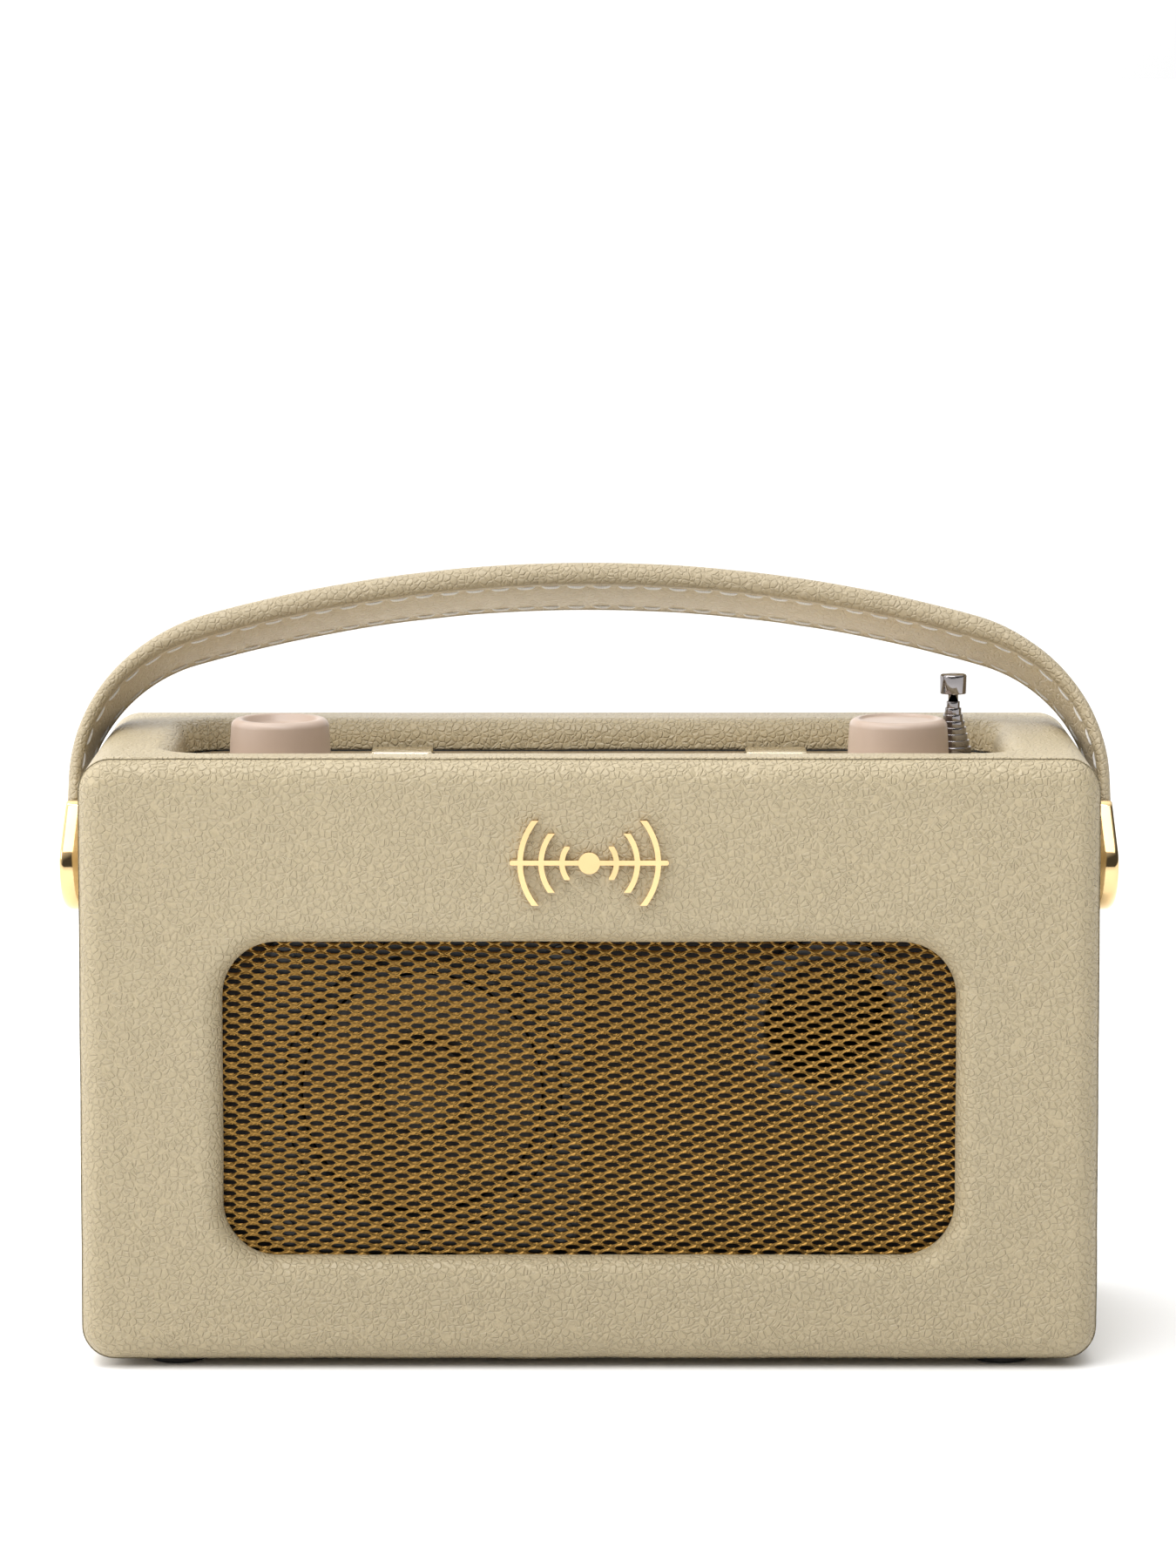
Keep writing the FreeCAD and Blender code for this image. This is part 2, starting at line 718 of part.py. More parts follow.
def aerial_bush():
    sleeve = upright(AERIAL_SLEEVE, AERIAL_X, AERIAL_Y, CHASSIS_BOTTOM - 12, PANEL_BOTTOM)
    flange = upright(AERIAL_FLANGE, AERIAL_X, AERIAL_Y, CHASSIS_BOTTOM - 2, CHASSIS_BOTTOM)
    bore = upright(AERIAL_BASE + SHAFT_PLAY, AERIAL_X, AERIAL_Y, LOW_CUT, HIGH_CUT)
    return fuse([sleeve, flange]).cut(bore)


def aerial_base():
    tube = aerial_tube(AERIAL_BASE, AERIAL_LOW, AERIAL_TOP)
    plug = upright(AERIAL_BASE, AERIAL_X, AERIAL_Y, AERIAL_LOW - 2, AERIAL_LOW)
    collar = upright(AERIAL_BASE + 0.15, AERIAL_X, AERIAL_Y, PANEL_TOP + 0.4, AERIAL_TOP)
    collar = collar.cut(upright(AERIAL_BASE - 0.1, AERIAL_X, AERIAL_Y, PANEL_TOP, AERIAL_TOP + 1))
    return fuse([tube, plug, collar])


def aerial_section(number):
    radius = AERIAL_BASE - AERIAL_STEP * number
    low = AERIAL_LOW + 0.6 + 0.6 * number
    return aerial_tube(radius, low, AERIAL_TOP + AERIAL_RISE * number)


def aerial_tip():
    stem = upright(ROD, AERIAL_X, AERIAL_Y, AERIAL_LOW + 6, TIP_LOW)
    cap = upright(TIP, AERIAL_X, AERIAL_Y, TIP_LOW, TIP_HIGH)
    return fuse([stem, round_rim(cap, 0.5, Z_AXIS, TIP_HIGH)])


# ---------------------------------------------------------------- handle
def arch(half, top, crown, shoulder, low, width):
    """The filled form under an arch: two legs, two shoulders and a crown."""
    reach = crown - shoulder
    side = half - shoulder
    level = top - crown + math.sqrt(reach ** 2 - side ** 2)
    meet = math.atan2(side, level - (top - crown))
    touch = Vector(crown * math.sin(meet), 0, top - crown + crown * math.cos(meet))
    turn = (math.pi / 2 - meet) / 2
    bend = Vector(side + shoulder * math.cos(turn), 0, level + shoulder * math.sin(turn))
    right = [Vector(half, 0, low), Vector(half, 0, level), bend, touch]
    left = [Vector(-point.x, 0, point.z) for point in right]
    edges = [
        Part.LineSegment(left[0], left[1]),
        Part.Arc(left[1], left[2], left[3]),
        Part.Arc(left[3], Vector(0, 0, top), right[3]),
        Part.Arc(right[3], right[2], right[1]),
        Part.LineSegment(right[1], right[0]),
        Part.LineSegment(right[0], left[0]),
    ]
    face = Part.Face(Part.Wire([edge.toShape() for edge in edges]))
    face.translate(Y_AXIS * -width)
    return face.extrude(Y_AXIS * 2 * width)


def inner_arch(offset, low, width):
    """The arch under the strap, moved outwards by an offset."""
    half = HANDLE_X - LEG_THICK + offset
    top = HANDLE_TOP - GRIP_THICK + offset
    return arch(half, top, HANDLE_CROWN + offset, INNER_SHOULDER + offset, low, width)


def lean(shape):
    """Hangs a handle piece on its pivot, leaning back."""
    hung = shape.copy()
    hung.rotate(Vector(0, 0, 0), X_AXIS, -LEAN)
    hung.translate(Z_AXIS * PIVOT_Z)
    return hung


def handle_strap():
    """The outer leather, hollowed for the core; its lower face meets the lining."""
    outer = arch(HANDLE_X, HANDLE_TOP, HANDLE_CROWN, HANDLE_SHOULDER, CAP_TOP, STRAP_HALF)
    chosen = []
    for edge in outer.Edges:
        frame = edge.BoundBox
        on_side = frame.YLength < 0.01
        if on_side and not lies_in(edge, Z_AXIS, CAP_TOP):
            chosen.append(edge)
    outer = outer.makeFillet(1.4, chosen)
    hollow = inner_arch(LINING + CORE, CAP_TOP - 1, CORE_HALF)
    return lean(outer.cut(inner_arch(LINING, CAP_TOP - 1, STRAP_HALF + 1)).cut(hollow))


def handle_lining():
    layer = inner_arch(LINING, CAP_TOP, STRAP_HALF - 0.4)
    return lean(layer.cut(inner_arch(0, CAP_TOP - 1, STRAP_HALF + 1)))


def handle_core():
    """The spring-steel strip; its ends go down into the caps."""
    strip = inner_arch(LINING + CORE, 3.0, CORE_HALF)
    return lean(strip.cut(inner_arch(LINING, 2.0, CORE_HALF + 1)))


def handle_cap():
    """The right-hand gilt end cap with its pivot stub."""
    outline = fuse([
        rod(CAP_ROUND, Vector(CAP_INNER, 0, 0), Vector(CAP_OUTER, 0, 0)),
        block((CAP_INNER, CAP_OUTER), (-CAP_ROUND, CAP_ROUND), (0, CAP_TOP)),
    ])
    low = -CAP_ROUND - 1
    near = CAP_INNER - 1
    profile = [(near, low), (CAP_OUTER, low), (CAP_OUTER, -3), (CAP_LIP, CAP_TOP), (near, CAP_TOP)]
    corners = [Vector(x, -20, z) for x, z in profile]
    wedge = Part.Face(Part.makePolygon(corners + corners[:1])).extrude(Y_AXIS * 40)
    cap = outline.common(wedge)
    slot_x = HANDLE_X - LEG_THICK + LINING
    slot = block((slot_x, slot_x + CORE), (-CORE_HALF, CORE_HALF), (3.0, CAP_TOP + 1))
    stub = rod(PIVOT, Vector(STUB_START, 0, 0), Vector(CAP_INNER, 0, 0))
    screw_hole = rod(PIVOT_SCREW + 0.05, Vector(INSIDE_X - 2, 0, 0), Vector(CAP_INNER + 1, 0, 0))
    return lean(fuse([cap, stub]).cut(slot).cut(screw_hole))


def handle_screws():
    """The shouldered screws that hold the stubs from inside."""
    start = Vector(STUB_START, 0, 0)
    head = rod(7.0, start - X_AXIS * 2.4, start)
    shank = rod(PIVOT_SCREW, start, Vector(CAP_INNER, 0, 0))
    screw = lean(fuse([head, shank]))
    return group([screw, mirrored(screw)])


def handle_bushes():
    side = WIDTH / 2
    outside = Vector(side, 0, PIVOT_Z)
    sleeve = rod(BUSH, Vector(INSIDE_X, 0, PIVOT_Z), outside)
    flange = rod(BUSH_FLANGE, outside, outside + X_AXIS * BUSH_PROUD)
    bore = rod(PIVOT + SHAFT_PLAY, outside - X_AXIS * 20, outside + X_AXIS * 5)
    bush = fuse([sleeve, flange]).cut(bore)
    return group([bush, mirrored(bush)])


# ---------------------------------------------------------------- back
def socket_holes():
    """The holes in the back panel for the sockets' noses."""
    middle = X_AXIS * SOCKET_X
    holes = []
    for z in JACK_HEIGHTS:
        holes.append(across(JACK_NOSE + SOCKET_PLAY, middle + Z_AXIS * z, 40, BACK_CUT))
    holes.append(across(DC_NOSE + SOCKET_PLAY, middle + Z_AXIS * DC_HEIGHT, 40, BACK_CUT))
    half_x = USB_X + SOCKET_PLAY
    half_z = USB_Z + SOCKET_PLAY
    x = (SOCKET_X - half_x, SOCKET_X + half_x)
    z = (USB_HEIGHT - half_z, USB_HEIGHT + half_z)
    holes.append(slab(x, (40, BACK_CUT), z, 1.4, Y_AXIS))
    return holes


def vent_slots():
    """Two rows of upright slots above the battery door."""
    slots = []
    for column in range(-VENT_COLUMNS, VENT_COLUMNS + 1):
        x = column * VENT_PITCH
        for low in VENT_LOWS:
            width = (x - VENT_HALF, x + VENT_HALF)
            slots.append(slab(width, (40, BACK_CUT), (low, low + VENT_LONG), 1.0, Y_AXIS))
    return slots


def back_panel():
    half = INSIDE_X - 0.5
    z = (INSIDE_LOW + 0.5, INSIDE_HIGH - 0.5)
    plate = slab((-half, half), (REAR_FRONT, PANEL_BACK), z, INSIDE_ROUND, Y_AXIS)
    edge = DOOR_X + DOOR_GAP
    doorway = (DOOR_LOW - DOOR_GAP, DOOR_HIGH + DOOR_GAP)
    plate = plate.cut(block((-edge, edge), (REAR_FRONT - 1, BACK_CUT), doorway))
    # Hinge bosses, and a ledge behind the door's sides and top that closes the gap around it.
    bosses = []
    for side in (-1, 1):
        x = sorted((side * edge, side * (edge + 5)))
        bosses.append(block(x, (PANEL_BACK - 5.5, REAR_FRONT), (DOOR_LOW - DOOR_GAP, DOOR_LOW + 8)))
        x = sorted((side * (edge - LEDGE), side * (edge + 2)))
        bosses.append(block(x, LEDGE_Y, (DOOR_LOW + 10, DOOR_HIGH + 2)))
    bosses.append(block((-edge, edge), LEDGE_Y, (DOOR_HIGH + DOOR_GAP - LEDGE, DOOR_HIGH + 3)))
    pin_end = Vector(edge + HINGE_END, HINGE_Y, HINGE_Z)
    cuts = [rod(HINGE_PIN + 0.05, pin_end - X_AXIS * 2 * pin_end.x, pin_end)]
    cuts += socket_holes()
    cuts += vent_slots()
    for side, low in block_places():
        centre = Vector(side * (INSIDE_X - BLOCK / 2), 0, low + BLOCK / 2)
        cuts.append(across(PILOT_HOLE, centre, 40, BACK_CUT))
    return fuse([plate] + bosses).cut(group(cuts))


def back_panel_screws():
    screws = []
    for side, low in block_places():
        centre = Vector(side * (INSIDE_X - BLOCK / 2), 0, low + BLOCK / 2)
        head = across(3.0, centre, PANEL_BACK, PANEL_BACK + 1.4)
        head = round_rim(head, 0.6, Y_AXIS, PANEL_BACK + 1.4)
        shank = across(1.6, centre, PANEL_BACK - 13, PANEL_BACK)
        screw = fuse([head, shank])
        for half_x, half_z in ((0.4, 2.0), (2.0, 0.4)):
            x = (centre.x - half_x, centre.x + half_x)
            z = (centre.z - half_z, centre.z + half_z)
            screw = screw.cut(block(x, (PANEL_BACK + 0.7, BACK), z))
        screws.append(screw)
    return group(screws)


def battery_box():
    """The open tray for four large cells, two over two."""
    tray = block((-BAY_X, BAY_X), (BAY_FRONT, BAY_BACK), (BAY_LOW, BAY_HIGH))
    inner = BAY_X - BAY_WALL
    height = (BAY_LOW + BAY_WALL, BAY_HIGH - BAY_WALL)
    return tray.cut(block((-inner, inner), (BAY_FRONT + BAY_WALL, BAY_BACK + 1), height))


def battery_contacts():
    """A plate at both ends of each row, with a coil on one of the two."""
    inner = BAY_X - BAY_WALL
    y = (BAY_FRONT + BAY_BACK) / 2
    solids = []
    for row, z in enumerate(CELL_ROWS):
        for side in (-1, 1):
            x = sorted((side * inner, side * (inner - 0.6)))
            plate = block(x, (y - CONTACT, y + CONTACT), (z - CONTACT, z + CONTACT))
            pieces = [plate]
            sprung = (side > 0) == (row == 0)
            turns = COIL_TURNS if sprung else 1
            for turn in range(turns):
                centre = Vector(side * (inner - 1.2 - COIL_PITCH * turn), y, z)
                pieces.append(Part.makeTorus(COIL_WIDE - turn, COIL_WIRE, centre, X_AXIS))
            solids.append(fuse(pieces))
    return group(solids)


def battery_door():
    x = (-DOOR_X, DOOR_X)
    y = (HINGE_Y - DOOR_THICK / 2, HINGE_Y + DOOR_THICK / 2)
    leaf = slab(x, y, (DOOR_LOW, DOOR_HIGH), 1.5, Y_AXIS)
    pin_end = Vector(DOOR_X + HINGE_END, HINGE_Y, HINGE_Z)
    pin = rod(HINGE_PIN, pin_end - X_AXIS * 2 * pin_end.x, pin_end)
    notch = across(7.0, Vector(0, 0, DOOR_HIGH + 2.0), HINGE_Y + 0.4, BACK_CUT)
    grips = []
    for row in range(5):
        z = DOOR_HIGH - 9.0 - 3.0 * row
        grips.append(block((-14, 14), (HINGE_Y + 0.8, BACK_CUT), (z, z + 1.2)))
    return fuse([leaf, pin]).cut(notch).cut(group(grips))


def main_board():
    y = (MAIN_BOARD_Y, MAIN_BOARD_Y + BOARD_THICK)
    return slab(MAIN_BOARD_X, y, MAIN_BOARD_Z, 2.0, Y_AXIS)


def socket_case(half, height):
    """The square case of a socket, standing on the main board."""
    x = (SOCKET_X - half, SOCKET_X + half)
    y = (MAIN_BOARD_Y + BOARD_THICK, REAR_FRONT - 0.1)
    return block(x, y, (height - half, height + half))


def audio_sockets():
    """Headphone and auxiliary sockets for a 3.5 mm plug."""
    solids = []
    for height in JACK_HEIGHTS:
        place = Vector(SOCKET_X, 0, height)
        nose = across(JACK_NOSE, place, REAR_FRONT - 1, SOCKET_BACK)
        bore = across(JACK_BORE, place, SOCKET_BACK - JACK_DEEP, SOCKET_BACK + 1)
        solids.append(fuse([socket_case(5.0, height), nose]).cut(bore))
    return group(solids)


def dc_socket():
    """A round power socket with a centre pin."""
    place = Vector(SOCKET_X, 0, DC_HEIGHT)
    nose = across(DC_NOSE, place, REAR_FRONT - 1, SOCKET_BACK)
    bore = across(DC_BORE, place, SOCKET_BACK - DC_DEEP, SOCKET_BACK + 1)
    pin = across(1.0, place, SOCKET_BACK - DC_DEEP - 0.5, SOCKET_BACK - 1)
    return fuse([fuse([socket_case(6.0, DC_HEIGHT), nose]).cut(bore), pin])


def usb_socket():
    """A small service socket with a tongue."""
    x = (SOCKET_X - USB_X, SOCKET_X + USB_X)
    z = (USB_HEIGHT - USB_Z, USB_HEIGHT + USB_Z)
    shell = slab(x, (MAIN_BOARD_Y + BOARD_THICK, SOCKET_BACK), z, 1.2, Y_AXIS)
    mouth_x = (x[0] + 0.4, x[1] - 0.4)
    mouth_z = (z[0] + 0.4, z[1] - 0.4)
    mouth = slab(mouth_x, (SOCKET_BACK - 6, SOCKET_BACK + 1), mouth_z, 0.9, Y_AXIS)
    tongue_z = (USB_HEIGHT - 0.3, USB_HEIGHT + 0.3)
    tongue = block((SOCKET_X - 3, SOCKET_X + 3), (SOCKET_BACK - 7, SOCKET_BACK - 1), tongue_z)
    return fuse([shell.cut(mouth), tongue])


# ---------------------------------------------------------------- writing
def pieces():
    """Every piece by its node's name."""
    found = {
        "cabinet_box": cabinet_box(),
        "front_frame": front_frame(),
        "cover_front": cover_front(),
        "cover_body": cover_body(),
        "grille": grille(),
        "feet": feet(),
        "badge": badge(),
        "speaker_baffle": speaker_baffle(),
        "driver_basket": driver_basket(),
        "driver_surround": driver_surround(),
        "driver_magnet": driver_magnet(),
        "driver_screws": driver_screws(),
        "speaker_cone": speaker_cone(),
        "bass_port": bass_port(),
        "panel_chassis": panel_chassis(),
        "control_panel": control_panel(),
        "display_window": display_window(),
        "display_module": display_module(),
        "key_board": key_board(),
        "key_switches": key_switches(),
        "encoders": encoders(),
        "encoder_nuts": encoder_nuts(),
        "volume_knob": volume_knob(),
        "volume_shaft": knob_shaft(-KNOB_X),
        "tuning_knob": tuning_knob(),
        "tuning_shaft": knob_shaft(KNOB_X),
        "tuning_plunger": tuning_plunger(),
        "aerial_bush": aerial_bush(),
        "aerial_base": aerial_base(),
        "aerial_tip": aerial_tip(),
        "handle_strap": handle_strap(),
        "handle_lining": handle_lining(),
        "handle_core": handle_core(),
        "handle_caps": group([handle_cap(), mirrored(handle_cap())]),
        "handle_screws": handle_screws(),
        "handle_bushes": handle_bushes(),
        "back_panel": back_panel(),
        "back_panel_screws": back_panel_screws(),
        "battery_box": battery_box(),
        "battery_contacts": battery_contacts(),
        "battery_door": battery_door(),
        "main_board": main_board(),
        "audio_sockets": audio_sockets(),
        "dc_socket": dc_socket(),
        "usb_socket": usb_socket(),
    }
    for name, x, y in key_places():
        found["key_" + name] = key(x, y)
    for number in range(1, AERIAL_SECTIONS + 1):
        found["aerial_section_" + str(number)] = aerial_section(number)
    return found


os.makedirs("parts", exist_ok=True)
for node, shape in pieces().items():
    save(node, shape)
    print(node, len(shape.Solids), shape.isValid(), round(shape.Volume))
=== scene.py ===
"""The looks of a leather-covered portable radio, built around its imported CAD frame.

Lengths in this script are metres. MM turns millimetres into metres.
"""

import json
import math

import bmesh
import bpy
from mathutils import Matrix, Vector, noise


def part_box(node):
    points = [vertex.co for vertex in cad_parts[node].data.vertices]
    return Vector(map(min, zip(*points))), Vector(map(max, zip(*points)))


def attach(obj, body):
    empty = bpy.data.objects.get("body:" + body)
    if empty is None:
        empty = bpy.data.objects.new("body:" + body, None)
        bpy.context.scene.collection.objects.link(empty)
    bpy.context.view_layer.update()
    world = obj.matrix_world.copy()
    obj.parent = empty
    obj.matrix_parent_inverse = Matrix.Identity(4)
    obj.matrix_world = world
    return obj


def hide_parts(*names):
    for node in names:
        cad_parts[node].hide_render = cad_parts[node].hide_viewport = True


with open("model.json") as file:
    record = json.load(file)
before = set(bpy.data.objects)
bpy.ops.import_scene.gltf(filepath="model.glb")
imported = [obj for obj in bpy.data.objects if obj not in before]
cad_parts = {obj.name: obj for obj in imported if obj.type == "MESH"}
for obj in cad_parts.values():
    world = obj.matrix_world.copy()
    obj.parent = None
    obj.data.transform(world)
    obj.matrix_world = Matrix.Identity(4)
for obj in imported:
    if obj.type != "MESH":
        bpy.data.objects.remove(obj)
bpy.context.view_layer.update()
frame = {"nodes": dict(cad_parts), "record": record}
NODES = frame["nodes"]
MM = 0.001

# ------------------------------------------------------------------ sizes from the frame
BODY_LOW, BODY_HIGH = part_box("cover_body")
FRONT_LOW, FRONT_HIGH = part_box("cover_front")
HALF_X = BODY_HIGH.x
BASE_Z = BODY_LOW.z
TOP_Z = BODY_HIGH.z
FRONT_Y = FRONT_LOW.y
SEAM_Y = FRONT_HIGH.y
SEAM_GAP = 0.3 * MM
BACK_Y = BODY_HIGH.y
MID_Z = (BASE_Z + TOP_Z) / 2
HALF_Z = (TOP_Z - BASE_Z) / 2
CORNER = 8 * MM
FRONT_ROUND = 6 * MM
BACK_ROUND = 4 * MM
RIM = 7.6 * MM
LEATHER = 0.9 * MM

OPENING_X = 88.2 * MM
OPENING_Z = 38.3 * MM
OPENING_MID = BASE_Z + 63.4 * MM
OPENING_CORNER = 13.2 * MM
LIP = 5 * MM

WELL_X = 101.6 * MM
WELL_Y = 31 * MM
WELL_CORNER = 10 * MM
WELL_ROLL = 5 * MM
PANEL_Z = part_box("control_panel")[1].z

PIVOT_Z = BASE_Z + 113.7 * MM
LEAN = math.radians(27)

UP = Vector((0, 0, 1))

# The noise behind the leather's unevenness starts from the clock unless it is given a seed.
NOISE_SEED = 7
noise.seed_set(NOISE_SEED)


# ------------------------------------------------------------------ materials
class Recipe:
    """A material's node tree, with short ways to add what it needs."""

    def __init__(self, name, color, rough, metallic=0.0):
        self.material = bpy.data.materials.new(name)
        self.material.use_nodes = True
        self.nodes = self.material.node_tree.nodes
        self.links = self.material.node_tree.links
        self.shader = self.nodes["Principled BSDF"]
        self.shader.inputs["Base Color"].default_value = (*color, 1)
        self.shader.inputs["Roughness"].default_value = rough
        self.shader.inputs["Metallic"].default_value = metallic
        self.place = self.nodes.new("ShaderNodeTexCoord").outputs["Object"]
        self.height = None

    def set(self, **values):
        for key, value in values.items():
            self.shader.inputs[key.replace("_", " ")].default_value = value

    def stretched(self, scale):
        """Object coordinates drawn out along one axis."""
        mapping = self.nodes.new("ShaderNodeMapping")
        mapping.inputs["Scale"].default_value = scale
        self.links.new(self.place, mapping.inputs["Vector"])
        return mapping.outputs["Vector"]

    def noise(self, scale, detail=3.0, rough=0.55, vector=None, distortion=0.0):
        node = self.nodes.new("ShaderNodeTexNoise")
        node.inputs["Scale"].default_value = scale
        node.inputs["Detail"].default_value = detail
        node.inputs["Roughness"].default_value = rough
        node.inputs["Distortion"].default_value = distortion
        self.links.new(vector or self.place, node.inputs["Vector"])
        return node.outputs["Fac"]

    def cells(self, scale, feature="DISTANCE_TO_EDGE", vector=None):
        node = self.nodes.new("ShaderNodeTexVoronoi")
        node.feature = feature
        node.inputs["Scale"].default_value = scale
        node.inputs["Randomness"].default_value = 1.0
        self.links.new(vector or self.place, node.inputs["Vector"])
        return node.outputs["Distance"]

    def bent(self, scale, amount):
        """Object coordinates pushed about by noise, so that cells aren't straight-sided."""
        node = self.nodes.new("ShaderNodeTexNoise")
        node.inputs["Scale"].default_value = scale
        node.inputs["Detail"].default_value = 2.0
        self.links.new(self.place, node.inputs["Vector"])
        centred = self.nodes.new("ShaderNodeVectorMath")
        centred.operation = "SUBTRACT"
        centred.inputs[1].default_value = (0.5, 0.5, 0.5)
        self.links.new(node.outputs["Color"], centred.inputs[0])
        scaled = self.nodes.new("ShaderNodeVectorMath")
        scaled.operation = "SCALE"
        scaled.inputs["Scale"].default_value = amount
        self.links.new(centred.outputs[0], scaled.inputs[0])
        total = self.nodes.new("ShaderNodeVectorMath")
        total.operation = "ADD"
        self.links.new(self.place, total.inputs[0])
        self.links.new(scaled.outputs[0], total.inputs[1])
        return total.outputs[0]

    def ramp(self, value, low, high, first=0.0, last=1.0, smooth=False):
        node = self.nodes.new("ShaderNodeMapRange")
        node.interpolation_type = "SMOOTHSTEP" if smooth else "LINEAR"
        for key, number in zip(("From Min", "From Max", "To Min", "To Max"), (low, high, first, last)):
            node.inputs[key].default_value = number
        self.links.new(value, node.inputs["Value"])
        return node.outputs["Result"]

    def maths(self, operation, first, second):
        node = self.nodes.new("ShaderNodeMath")
        node.operation = operation
        for socket, value in zip(node.inputs, (first, second)):
            if isinstance(value, (int, float)):
                socket.default_value = value
            else:
                self.links.new(value, socket)
        return node.outputs[0]

    def mix(self, factor, first, second):
        node = self.nodes.new("ShaderNodeMix")
        node.data_type = "RGBA"
        self.links.new(factor, node.inputs["Factor"])
        for name, value in (("A", first), ("B", second)):
            sockets = [s for s in node.inputs if s.name == name and s.type == "RGBA"]
            if isinstance(value, tuple):
                sockets[0].default_value = (*value, 1)
            else:
                self.links.new(value, sockets[0])
        return [s for s in node.outputs if s.type == "RGBA"][0]

    def color(self, output):
        self.links.new(output, self.shader.inputs["Base Color"])

    def rough(self, output):
        self.links.new(output, self.shader.inputs["Roughness"])

    def bump(self, height, distance, strength=1.0):
        """Adds a layer of relief on top of the ones already there."""
        node = self.nodes.new("ShaderNodeBump")
        node.inputs["Strength"].default_value = strength
        node.inputs["Distance"].default_value = distance
        self.links.new(height, node.inputs["Height"])
        if self.height is not None:
            self.links.new(self.height, node.inputs["Normal"])
        self.height = node.outputs["Normal"]
        self.links.new(self.height, self.shader.inputs["Normal"])

    def worn(self, worn_color, base, amount=0.5, spread=0.58):
        """Lightens edges and corners, where fingers rub."""
        node = self.nodes.new("ShaderNodeNewGeometry")
        edge = self.ramp(node.outputs["Pointiness"], 0.5, spread, 0.0, amount)
        return self.mix(edge, base, worn_color)


def leather_material(name, color, grain=1.0):
    """Even, softly crinkled cells, with the creases lightened by a painted highlight."""
    recipe = Recipe(name, color, 0.42)
    light = tuple(c * 1.02 for c in color)
    dark = tuple(c * 0.98 for c in color)
    bent = recipe.bent(420, 0.0006)
    pebble = recipe.ramp(recipe.cells(640, vector=bent), 0.0, 0.20, 0.0, 1.0, True)
    small = recipe.ramp(recipe.cells(1250, vector=bent), 0.0, 0.30, 0.0, 1.0, True)
    even = recipe.mix(recipe.ramp(recipe.noise(24, 2.0), 0.3, 0.7), dark, light)
    # Near the cell edges the colour mixes towards a lighter copy: a painted highlight along the creases.
    crease_highlight = tuple(c * 1.09 for c in color)
    recipe.color(recipe.mix(recipe.ramp(pebble, 0.0, 0.5, 0.6, 0.0), even, crease_highlight))
    recipe.rough(recipe.ramp(recipe.noise(700, 2.0), 0.3, 0.7, 0.38, 0.46))
    recipe.bump(pebble, 0.00034 * grain, 0.8)
    recipe.bump(small, 0.00006 * grain, 0.5)
    recipe.set(Specular_IOR_Level=0.5)
    return recipe.material


def gilt_material(name, color, rough, streak=0.12):
    recipe = Recipe(name, color, rough, 1.0)
    tarnish = tuple(c * 0.86 for c in color)
    recipe.color(recipe.mix(recipe.ramp(recipe.noise(90, 4.0), 0.4, 0.75), color, tarnish))
    haze = recipe.noise(260, 5.0, 0.6)
    recipe.rough(recipe.ramp(haze, 0.35, 0.8, rough, rough + streak))
    recipe.bump(recipe.noise(900, 2.0), 0.000012, 0.35)
    return recipe.material


def metal_material(name, color, rough, brushed=(1, 1, 1)):
    recipe = Recipe(name, color, rough, 1.0)
    grain = recipe.noise(1400, 3.0, 0.6, recipe.stretched(brushed))
    shade = tuple(c * 0.82 for c in color)
    recipe.color(recipe.mix(recipe.ramp(recipe.noise(120, 4.0), 0.45, 0.8), color, shade))
    recipe.rough(recipe.ramp(grain, 0.3, 0.7, rough * 0.8, rough * 1.35))
    recipe.bump(grain, 0.000015, 0.4)
    return recipe.material


def moulded_material(name, color, rough, texture=0.00005, scale=1800, wear=None):
    recipe = Recipe(name, color, rough)
    shade = tuple(c * 0.9 for c in color)
    base = recipe.mix(recipe.ramp(recipe.noise(45, 4.0), 0.35, 0.7), color, shade)
    if wear:
        base = recipe.worn(wear, base, 0.35)
    recipe.color(base)
    recipe.rough(recipe.ramp(recipe.noise(220, 4.0), 0.3, 0.7, rough * 0.88, rough * 1.12))
    recipe.bump(recipe.noise(scale, 3.0), texture, 0.6)
    return recipe.material


def wood_material(name, color, contrast):
    recipe = Recipe(name, color, 0.72)
    grain = recipe.noise(240, 5.0, 0.65, recipe.stretched((0.06, 1, 1)), 0.4)
    dark = tuple(c * contrast for c in color)
    recipe.color(recipe.mix(recipe.ramp(grain, 0.35, 0.68), color, dark))
    recipe.bump(grain, 0.00012, 0.5)
    return recipe.material


def board_material(name):
    recipe = Recipe(name, (0.03, 0.16, 0.07), 0.34)
    tracks = recipe.cells(260, "F1")
    copper = recipe.ramp(tracks, 0.28, 0.30, 0.5, 0.0)
    recipe.color(recipe.mix(copper, (0.03, 0.16, 0.07), (0.10, 0.32, 0.14)))
    recipe.bump(tracks, 0.00006, 0.5)
    return recipe.material


def display_material(name):
    """An unlit display: a faint grid of cells under a green-grey field."""
    recipe = Recipe(name, (0.05, 0.06, 0.055), 0.3)
    brick = recipe.nodes.new("ShaderNodeTexBrick")
    brick.offset = 0.0
    brick.inputs["Scale"].default_value = 1100
    brick.inputs["Mortar Size"].default_value = 0.06
    brick.inputs["Brick Width"].default_value = 0.5
    brick.inputs["Row Height"].default_value = 0.5
    brick.inputs["Color1"].default_value = (0.075, 0.085, 0.075, 1)
    brick.inputs["Color2"].default_value = (0.070, 0.080, 0.072, 1)
    brick.inputs["Mortar"].default_value = (0.05, 0.056, 0.05, 1)
    recipe.links.new(recipe.place, brick.inputs["Vector"])
    recipe.color(brick.outputs["Color"])
    recipe.bump(brick.outputs["Fac"], 0.00002, 0.3)
    return recipe.material


